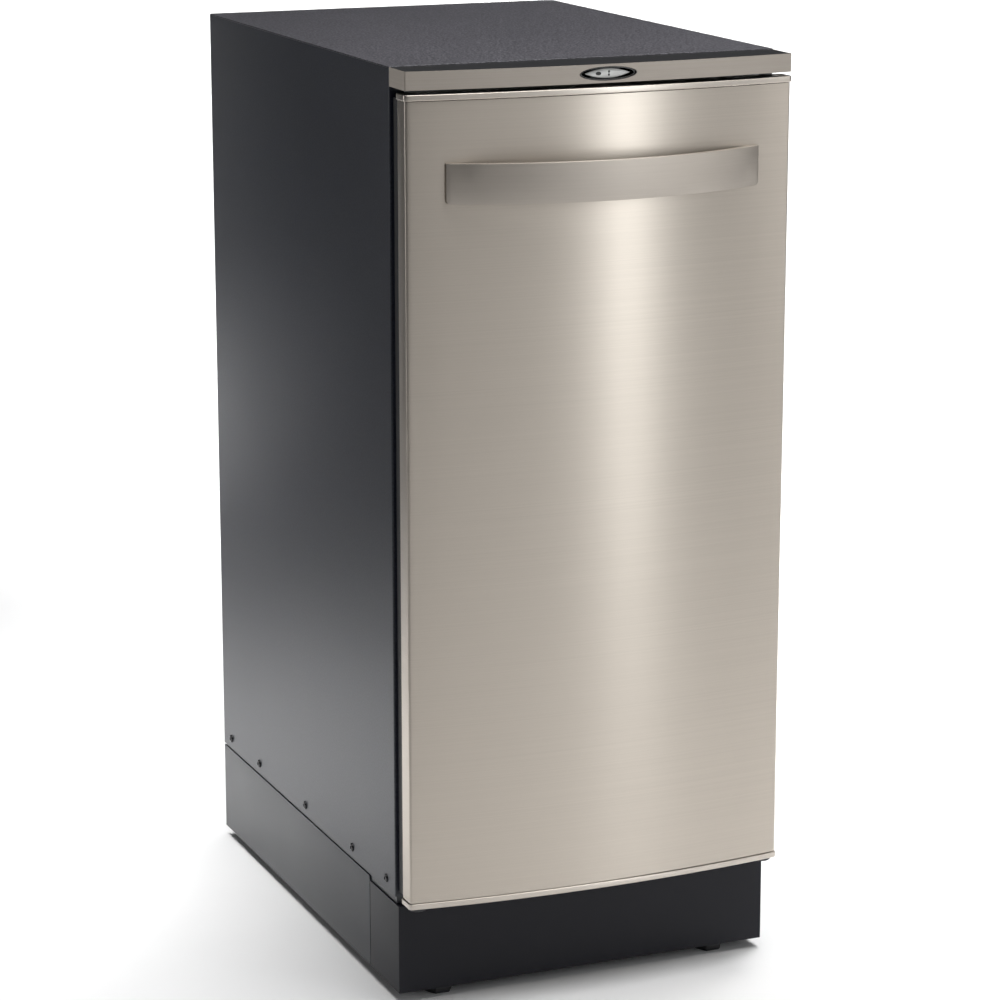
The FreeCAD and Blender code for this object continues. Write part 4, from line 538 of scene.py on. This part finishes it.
# %% Rocker
low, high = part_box("start_rocker")
half_wide, half_high = high.x, 4.2 * MM
RIM_RISE, PLATE = 0.4 * MM, 2.0 * MM
plate_back = low.y + RIM_RISE + PLATE
eye_radius = (half_wide ** 2 + half_high ** 2) / (2 * half_high)
bm = bmesh.new()
left = bm.verts.new((-half_wide, plate_back, 0))
bmesh.ops.spin(bm, geom=[left], cent=(0, plate_back, half_high - eye_radius), axis=(0, 1, 0),
               dvec=(0, 0, 0), angle=2 * math.asin(half_wide / eye_radius), steps=40)
bmesh.ops.mirror(bm, geom=bm.verts[:] + bm.edges[:], axis="Z", merge_dist=1e-6)
plan = bmesh.ops.contextual_create(bm, geom=bm.edges[:])["faces"]
front = bmesh.ops.extrude_face_region(bm, geom=plan)
bmesh.ops.translate(bm, verts=moved_part(front), vec=(0, -PLATE, 0))
front_face = [g for g in front["geom"] if isinstance(g, bmesh.types.BMFace)]
bmesh.ops.inset_region(bm, faces=front_face, thickness=0.35 * MM, depth=0.0)
bmesh.ops.translate(bm, verts=list({v for f in front_face for v in f.verts}), vec=(0, -RIM_RISE, 0))
bmesh.ops.translate(bm, verts=bm.verts[:], vec=(0, 0, oval_z))
turn_outwards(bm)
make_piece(bm, "rocker_plate", "rocker", "rocker_silver", "start_rocker", soft_angle=50)

# %% [markdown]
# Two plain marks are printed on the rocker: an oval spot on its left half and a small colon near its
# middle. Print has next to no thickness and could be a colour in the rocker's finish; a thin disc keeps
# its edge clean. Each dot is a disc a tenth of a millimetre thick, sunk by half of that into the face.


# %% Rocker marks
PRINT = 0.1 * MM


def printed_spot(name, x_mm, z_mm, wide_mm, high_mm):
    """A thin oval disc on the rocker's face."""
    bm = bmesh.new()
    disc = bmesh.ops.create_circle(bm, cap_ends=True, segments=32, radius=0.5)["verts"]
    bmesh.ops.rotate(bm, verts=disc, cent=(0, 0, 0), matrix=Matrix.Rotation(math.radians(90), 3, "X"))
    bmesh.ops.scale(bm, vec=(wide_mm * MM, 1, high_mm * MM), verts=disc)
    bmesh.ops.translate(bm, vec=(x_mm * MM, low.y + PRINT / 2, oval_z + z_mm * MM), verts=disc)
    front = bmesh.ops.extrude_face_region(bm, geom=bm.faces[:])
    bmesh.ops.translate(bm, verts=moved_part(front), vec=(0, -PRINT, 0))
    turn_outwards(bm)
    make_piece(bm, name, "rocker", "mark_black", soft_angle=50)


printed_spot("rocker_spot", -8.9, 0.0, 5.3, 3.2)
printed_spot("rocker_colon_upper", 1.3, 1.35, 1.9, 2.2)
printed_spot("rocker_colon_lower", 1.3, -1.35, 1.9, 2.2)

# %% [markdown]
# ## Cabinet sheets
# Side, top and plinth are folded sheets. What shows are broad flat faces with a tight bend along each
# fold. The side sheet and the toe-kick are lines in plan, pulled up and bevelled at the fold like the
# skin; the flat flanges that only stiffen them are plain slabs with eased edges.


# %% Side panels
SHEET = 1.2 * MM
BACK_SETBACK = 1.5 * MM                  # from the side sheet's rear edge to its rear flange


def side_wall(name, node, side):
    """One cabinet side: a sheet with its front fold, its rear flange and its bottom flange."""
    low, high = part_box(node)
    front_flange, bottom_flange = 14 * MM, 12 * MM
    out_x = side * max(abs(low.x), abs(high.x))
    in_x = out_x - side * front_flange
    bm = bmesh.new()
    corner = bm.verts.new((out_x, low.y, low.z))
    for x, y in ((in_x, low.y), (out_x, high.y)):
        end = bmesh.ops.extrude_vert_indiv(bm, verts=[corner])["verts"][0]
        end.co = (x, y, low.z)
    raise_line(bm, high.z - low.z)
    bmesh.ops.bevel(bm, geom=upright_corners(bm, abs(out_x), low.y), offset=1.4 * MM, affect="EDGES",
                    segments=5, profile=0.5, material=-1)
    turn_outwards(bm)
    outward = max(bm.faces, key=lambda f: f.calc_area())
    if outward.normal.x * side < 0:
        bmesh.ops.reverse_faces(bm, faces=bm.faces[:])
    bmesh.ops.solidify(bm, geom=bm.faces[:], thickness=SHEET)
    x0, x1 = sorted((in_x, out_x - side * SHEET))
    flange_back = high.y - BACK_SETBACK
    slab(bm, (x0, flange_back - SHEET, low.z), (x1, flange_back, high.z), 0.2 * MM, 1)
    x0, x1 = sorted((out_x - side * bottom_flange, out_x - side * SHEET))
    slab(bm, (x0, low.y + SHEET, low.z), (x1, flange_back - SHEET, low.z + SHEET), 0.2 * MM, 1)
    make_piece(bm, name, "cabinet", "cabinet_paint", node)


side_wall("left_wall", "side_panel_left", -1)
side_wall("right_wall", "side_panel_right", 1)

# %% [markdown]
# The top is a flat sheet with a rounded edge. Two strips hang from it just inside the side panels; they
# are slabs, because nobody sees their corners.

# %% Top panel
low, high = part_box("top_panel")
STRIP_OUT = 1.5 * MM                     # from the top's side edge to the strip
bm = bmesh.new()
slab(bm, (low.x, low.y, high.z - 1.5 * MM), (high.x, high.y, high.z), 0.7 * MM, 4)
for side in (-1, 1):
    x0, x1 = sorted((side * (high.x - STRIP_OUT - SHEET), side * (high.x - STRIP_OUT)))
    slab(bm, (x0, low.y + 6 * MM, low.z), (x1, high.y - 7.2 * MM, high.z - 1.3 * MM), 0.2 * MM, 1)
make_piece(bm, "top_cover", "cabinet", "top_paint", "top_panel")

# %% [markdown]
# The toe-kick stands a little in front of the cabinet and is folded back at both sides and at its top
# edge. Its plan is three sides of a rectangle. The top fold is a plain ledge, as only its front edge is
# seen; it ends just short of the cabinet.

# %% Toe-kick
low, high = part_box("toe_kick")
bm = bmesh.new()
corner_left = bm.verts.new((low.x, low.y, low.z))
corner_right = bmesh.ops.extrude_vert_indiv(bm, verts=[corner_left])["verts"][0]
corner_right.co.x = high.x
for corner in (corner_left, corner_right):
    end = bmesh.ops.extrude_vert_indiv(bm, verts=[corner])["verts"][0]
    end.co.y = high.y
raise_line(bm, high.z - low.z)
bmesh.ops.bevel(bm, geom=upright_corners(bm, high.x, low.y), offset=1.1 * MM, affect="EDGES", segments=5,
                profile=0.5, material=-1)
turn_outwards(bm)
front_face = min(bm.faces, key=lambda f: f.calc_center_median().y)
if front_face.normal.y > 0:
    bmesh.ops.reverse_faces(bm, faces=bm.faces[:])
bmesh.ops.solidify(bm, geom=bm.faces[:], thickness=SHEET)
ledge_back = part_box("side_panel_left")[0].y - 0.3 * MM
slab(bm, (low.x + 1.5 * MM, low.y + 0.5 * MM, high.z - SHEET), (high.x - 1.5 * MM, ledge_back, high.z),
     0.2 * MM, 1)
make_piece(bm, "kick_plate", "cabinet", "toe_kick_paint", "toe_kick")

# %% [markdown]
# Behind the toe-kick's returns a flat skirt closes each side of the plinth. A slab with softened edges is
# all that it needs.

# %% Skirts
for side, word in ((-1, "left"), (1, "right")):
    low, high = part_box(f"side_skirt_{word}")
    bm = bmesh.new()
    slab(bm, low, high, 0.35 * MM, 3)
    make_piece(bm, f"{word}_skirt", "cabinet", "plinth_paint", f"side_skirt_{word}")

# %% [markdown]
# ## Screws
# Black pan-head screws run along the lower edge of each side and up the back. A short profile of a few
# vertices, spun once round the screw's axis, gives the domed head, its flat-bottomed recess and the
# shank. A driver's slots in the recess would be too small to see, so the recess stays round.


# %% Pan-head screws
def turned_profile(bm, profile_mm, centre, axis):
    """Spin (distance along the axis, radius) pairs into a turned shape."""
    axis = Vector(axis)
    across = axis.orthogonal().normalized()
    points = [bm.verts.new(Vector(centre) + axis * a * MM + across * r * MM) for a, r in profile_mm]
    edges = [bm.edges.new(pair) for pair in zip(points, points[1:])]
    bmesh.ops.spin(bm, geom=points + edges, cent=centre, axis=axis, dvec=(0, 0, 0),
                   angle=2 * math.pi, steps=28, use_merge=True)


HEAD_R, SHANK_R, SHANK_LENGTH = 4.2, 1.9, 9.0       # millimetres
SCREW = [(0.75, 0), (0.75, 1.3), (0.95, 1.55), (1.95, 1.65), (2.0, 1.9), (1.85, 2.7), (1.45, 3.5),
         (0.85, 4.05), (0.2, HEAD_R), (0.0, HEAD_R), (0.0, SHANK_R), (0.4 - SHANK_LENGTH, SHANK_R),
         (-SHANK_LENGTH, 1.6), (-SHANK_LENGTH, 0)]


def screw_row(name, node, centres, axis_of):
    """All the screws of one CAD node as one piece."""
    bm = bmesh.new()
    for centre in centres:
        turned_profile(bm, SCREW, centre, axis_of(centre))
    turn_outwards(bm)
    make_piece(bm, name, "cabinet", "black_screws", node, soft_angle=28)


low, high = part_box("side_panel_screws")
wall_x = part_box("side_panel_right")[1].x
SIDE_SCREW_Y = [-0.196, -0.104, 0.031, 0.173, 0.264]       # front to rear, unevenly spaced
side_centres = [(s * wall_x, y, (low.z + high.z) / 2) for s in (-1, 1) for y in SIDE_SCREW_Y]
screw_row("side_screws", "side_panel_screws", side_centres, lambda c: (math.copysign(1, c[0]), 0, 0))

low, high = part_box("back_panel_screws")
back_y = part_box("back_panel")[1].y
lowest, column = low.z + HEAD_R * MM, high.z - low.z - 2 * HEAD_R * MM
heights = [lowest + share * column for share in (0, 1 / 3, 2 / 3, 1)]
back_centres = [(s * (high.x - HEAD_R * MM), back_y, z) for s in (-1, 1) for z in heights]
screw_row("back_screws", "back_panel_screws", back_centres, lambda c: (0, 1, 0))

# %% [markdown]
# ## Feet and glides
# The levelling feet are bolts with a hexagonal head. A six-sided disc pulled up makes the head; insetting
# its lower face and dropping it gives the chamfer that bolts have. The stem is a turned profile, as the
# screws are.


# %% Levelling feet
def levelling_foot(place):
    """A hex head on a round stem."""
    node = f"levelling_foot_{place}"
    low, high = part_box(node)
    centre = (low + high) / 2
    flats = (high.y - low.y) / 2
    corners = flats / math.cos(math.radians(30))
    head_top, chamfer = 9.2 * MM, 1.6 * MM
    stem_bottom = head_top - 0.2 * MM
    stem_length = (high.z - head_top) / MM
    bm = bmesh.new()
    hexagon = bmesh.ops.create_circle(bm, cap_ends=True, segments=6, radius=corners)["verts"]
    bmesh.ops.rotate(bm, verts=hexagon, cent=(0, 0, 0), matrix=Matrix.Rotation(math.radians(30), 3, "Z"))
    bmesh.ops.translate(bm, verts=hexagon, vec=(centre.x, centre.y, chamfer))
    upper = bmesh.ops.extrude_face_region(bm, geom=bm.faces[:])
    bmesh.ops.translate(bm, verts=moved_part(upper), vec=(0, 0, head_top - chamfer))
    turn_outwards(bm)
    bottom = min(bm.faces, key=lambda f: f.calc_center_median().z)
    bmesh.ops.inset_region(bm, faces=[bottom], thickness=1.4 * MM)
    bmesh.ops.translate(bm, verts=bottom.verts[:], vec=(0, 0, -chamfer))
    ridges = [e for e in bm.edges if e.calc_face_angle(0) > math.radians(25)]
    bmesh.ops.bevel(bm, geom=ridges, offset=0.35 * MM, affect="EDGES", segments=2, profile=0.5,
                    material=-1)
    turned_profile(bm, [(0, 0), (0, 5.0), (stem_length, 5.0), (stem_length + 0.2, 0)],
                   (centre.x, centre.y, stem_bottom), (0, 0, 1))
    turn_outwards(bm)
    make_piece(bm, f"foot_{place}_bolt", f"foot_{place}", "foot_black", node, soft_angle=25)


for place in ("front_left", "front_right", "rear_left", "rear_right"):
    levelling_foot(place)

# %% [markdown]
# Under the drawer front's lower corners sit two low black buttons. They are turned as well, from a flat
# top down to a rounded rim.

# %% Corner glides
low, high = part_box("corner_glides")
BUTTON_R = 9.0                           # millimetres
BUTTON = [(0, 0), (0, BUTTON_R), (-2.2, BUTTON_R), (-3.0, 8.7), (-3.45, 8.0), (-3.6, 7.0), (-3.6, 0)]
bm = bmesh.new()
for side in (-1, 1):
    turned_profile(bm, BUTTON, (side * (high.x - BUTTON_R * MM), (low.y + high.y) / 2, high.z), (0, 0, 1))
turn_outwards(bm)
make_piece(bm, "corner_buttons", "drawer", "black_plastic", "corner_glides")

# %% [markdown]
# ## The bin
# The bin lifts out of the drawer. It is drawn from one block: the top is taken off, the upright edges
# and the floor's edges are rounded, the rim is turned out as a flat lip, and the wall is given last.

# %% Bin
low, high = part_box("trash_bin")
RIM = 4.0 * MM                           # how far the lip stands out
bm = bmesh.new()
tub = bmesh.ops.create_cube(bm, size=1.0)["verts"]
bin_low, bin_high = low + Vector((RIM, RIM, 0)), high - Vector((RIM, RIM, 0))
bmesh.ops.scale(bm, vec=bin_high - bin_low, verts=tub)
bmesh.ops.translate(bm, vec=(bin_low + bin_high) / 2, verts=tub)
lid = max(bm.faces, key=lambda f: f.calc_center_median().z)
bmesh.ops.delete(bm, geom=[lid], context="FACES_ONLY")
upright = [e for e in bm.edges if abs(e.verts[0].co.z - e.verts[1].co.z) > 0.1]
bmesh.ops.bevel(bm, geom=upright, offset=18 * MM, affect="EDGES", segments=8, profile=0.5, material=-1)
floor_rim = [e for e in bm.edges if all(abs(v.co.z - bin_low.z) < 1e-6 for v in e.verts)]
bmesh.ops.bevel(bm, geom=floor_rim, offset=2.5 * MM, affect="EDGES", segments=3, profile=0.5,
                material=-1)
mouth = [e for e in bm.edges if len(e.link_faces) == 1]
turned = bmesh.ops.extrude_edge_only(bm, edges=mouth)
middle = (bin_low + bin_high) / 2
wide, deep = (bin_high.x - bin_low.x) / 2, (bin_high.y - bin_low.y) / 2
for v in moved_part(turned):
    v.co.x = middle.x + (v.co.x - middle.x) * (wide + RIM) / wide
    v.co.y = middle.y + (v.co.y - middle.y) * (deep + RIM) / deep
turn_outwards(bm)
wall_face = max(bm.faces, key=lambda f: f.calc_center_median().x if abs(f.normal.x) > 0.9 else -9)
if wall_face.normal.x < 0:
    bmesh.ops.reverse_faces(bm, faces=bm.faces[:])
bmesh.ops.solidify(bm, geom=bm.faces[:], thickness=SHEET)
make_piece(bm, "bin_shell", "drawer", "bin_paint", "trash_bin")

# %% [markdown]
# ## Floor and light
# The machine stands on a plain pale floor. A tall, narrow lamp to the front right is what draws the
# bright upright band on the bowed steel, and two broad ones beside it fill the rest of the front. A soft
# lamp overhead lights the floor and the top, and two more whiten the floor to the right and behind. The
# dark side mirrors the floor at the left, so two small lamps brighten patches of that floor, and a weak
# one further out picks up the folded edges.

# %% Floor
bm = bmesh.new()
bmesh.ops.create_grid(bm, x_segments=1, y_segments=1, size=30.0)
floor_mesh = bpy.data.meshes.new("studio_floor")
bm.to_mesh(floor_mesh)
bm.free()
floor = bpy.data.objects.new("studio_floor", floor_mesh)
scene.collection.objects.link(floor)
paper, tree, shader, place = start_finish("studio_paper", 0.0, 0.2)
tree.links.new(between(tree, grain(tree, place, (400, 400, 400)), (0.86, 0.86, 0.86), (0.9, 0.9, 0.9)),
               shader.inputs["Base Color"])
shader.inputs["Roughness"].default_value = 0.8
floor_mesh.materials.append(paper)
print("floor laid")


# %% Lamps
def softbox(name, place_at, aim, size, power, spread=180, turn=0, colour=(1, 1, 1)):
    """A rectangular area lamp aimed at a point; one that faces straight down can be turned instead."""
    lamp = bpy.data.lights.new(name, "AREA")
    lamp.shape = "RECTANGLE"
    lamp.size, lamp.size_y = size
    lamp.energy = power
    lamp.spread = math.radians(spread)
    lamp.color = colour
    holder = bpy.data.objects.new(name, lamp)
    holder.location = place_at
    holder.rotation_euler = (Vector(aim) - Vector(place_at)).to_track_quat("-Z", "Y").to_euler()
    if turn:
        holder.rotation_euler = (0, 0, math.radians(turn))
    scene.collection.objects.link(holder)


FRONT_AIM = (0.0, -0.25, 0.5)
softbox("band_lamp", (1.25, -2.75, 1.1), FRONT_AIM, (0.2, 2.2), 7.9, colour=(0.94, 0.975, 1.0))
softbox("front_lamp", (1.45, -3.1, 1.3), FRONT_AIM, (3.0, 2.4), 10.5)
softbox("right_lamp", (2.5, -2.0, 1.3), FRONT_AIM, (1.4, 2.4), 8.5)
softbox("overhead_lamp", (0.3, -0.5, 2.6), (0.3, -0.5, 0.0), (1.8, 1.8), 34, spread=120)
softbox("floor_lamp", (1.15, 0.45, 1.7), (1.15, 0.45, 0.0), (1.0, 1.0), 18, spread=70)
softbox("left_lamp", (-2.2, 1.2, 1.0), (-0.19, -0.1, 0.75), (0.8, 1.2), 1.6, spread=70)
softbox("side_lamp", (-0.5, 0.45, 1.2), (-0.5, 0.45, 0.0), (0.3, 0.8), 2.7, spread=60)
softbox("far_lamp", (-0.7, 2.5, 0.9), (-0.7, 2.5, 0.0), (0.25, 1.3), 3, spread=50, turn=19)
softbox("backdrop_lamp", (2.6, 6.8, 5.0), (2.6, 6.8, 0.0), (7.4, 11.0), 480, spread=24, turn=12)

world = bpy.data.worlds.new("studio_air")
scene.world = world
world.use_nodes = True
air = world.node_tree.nodes["Background"]
air.inputs["Color"].default_value = (0.97, 0.98, 1.0, 1)
air.inputs["Strength"].default_value = 0.07
scene.view_settings.view_transform = "Standard"
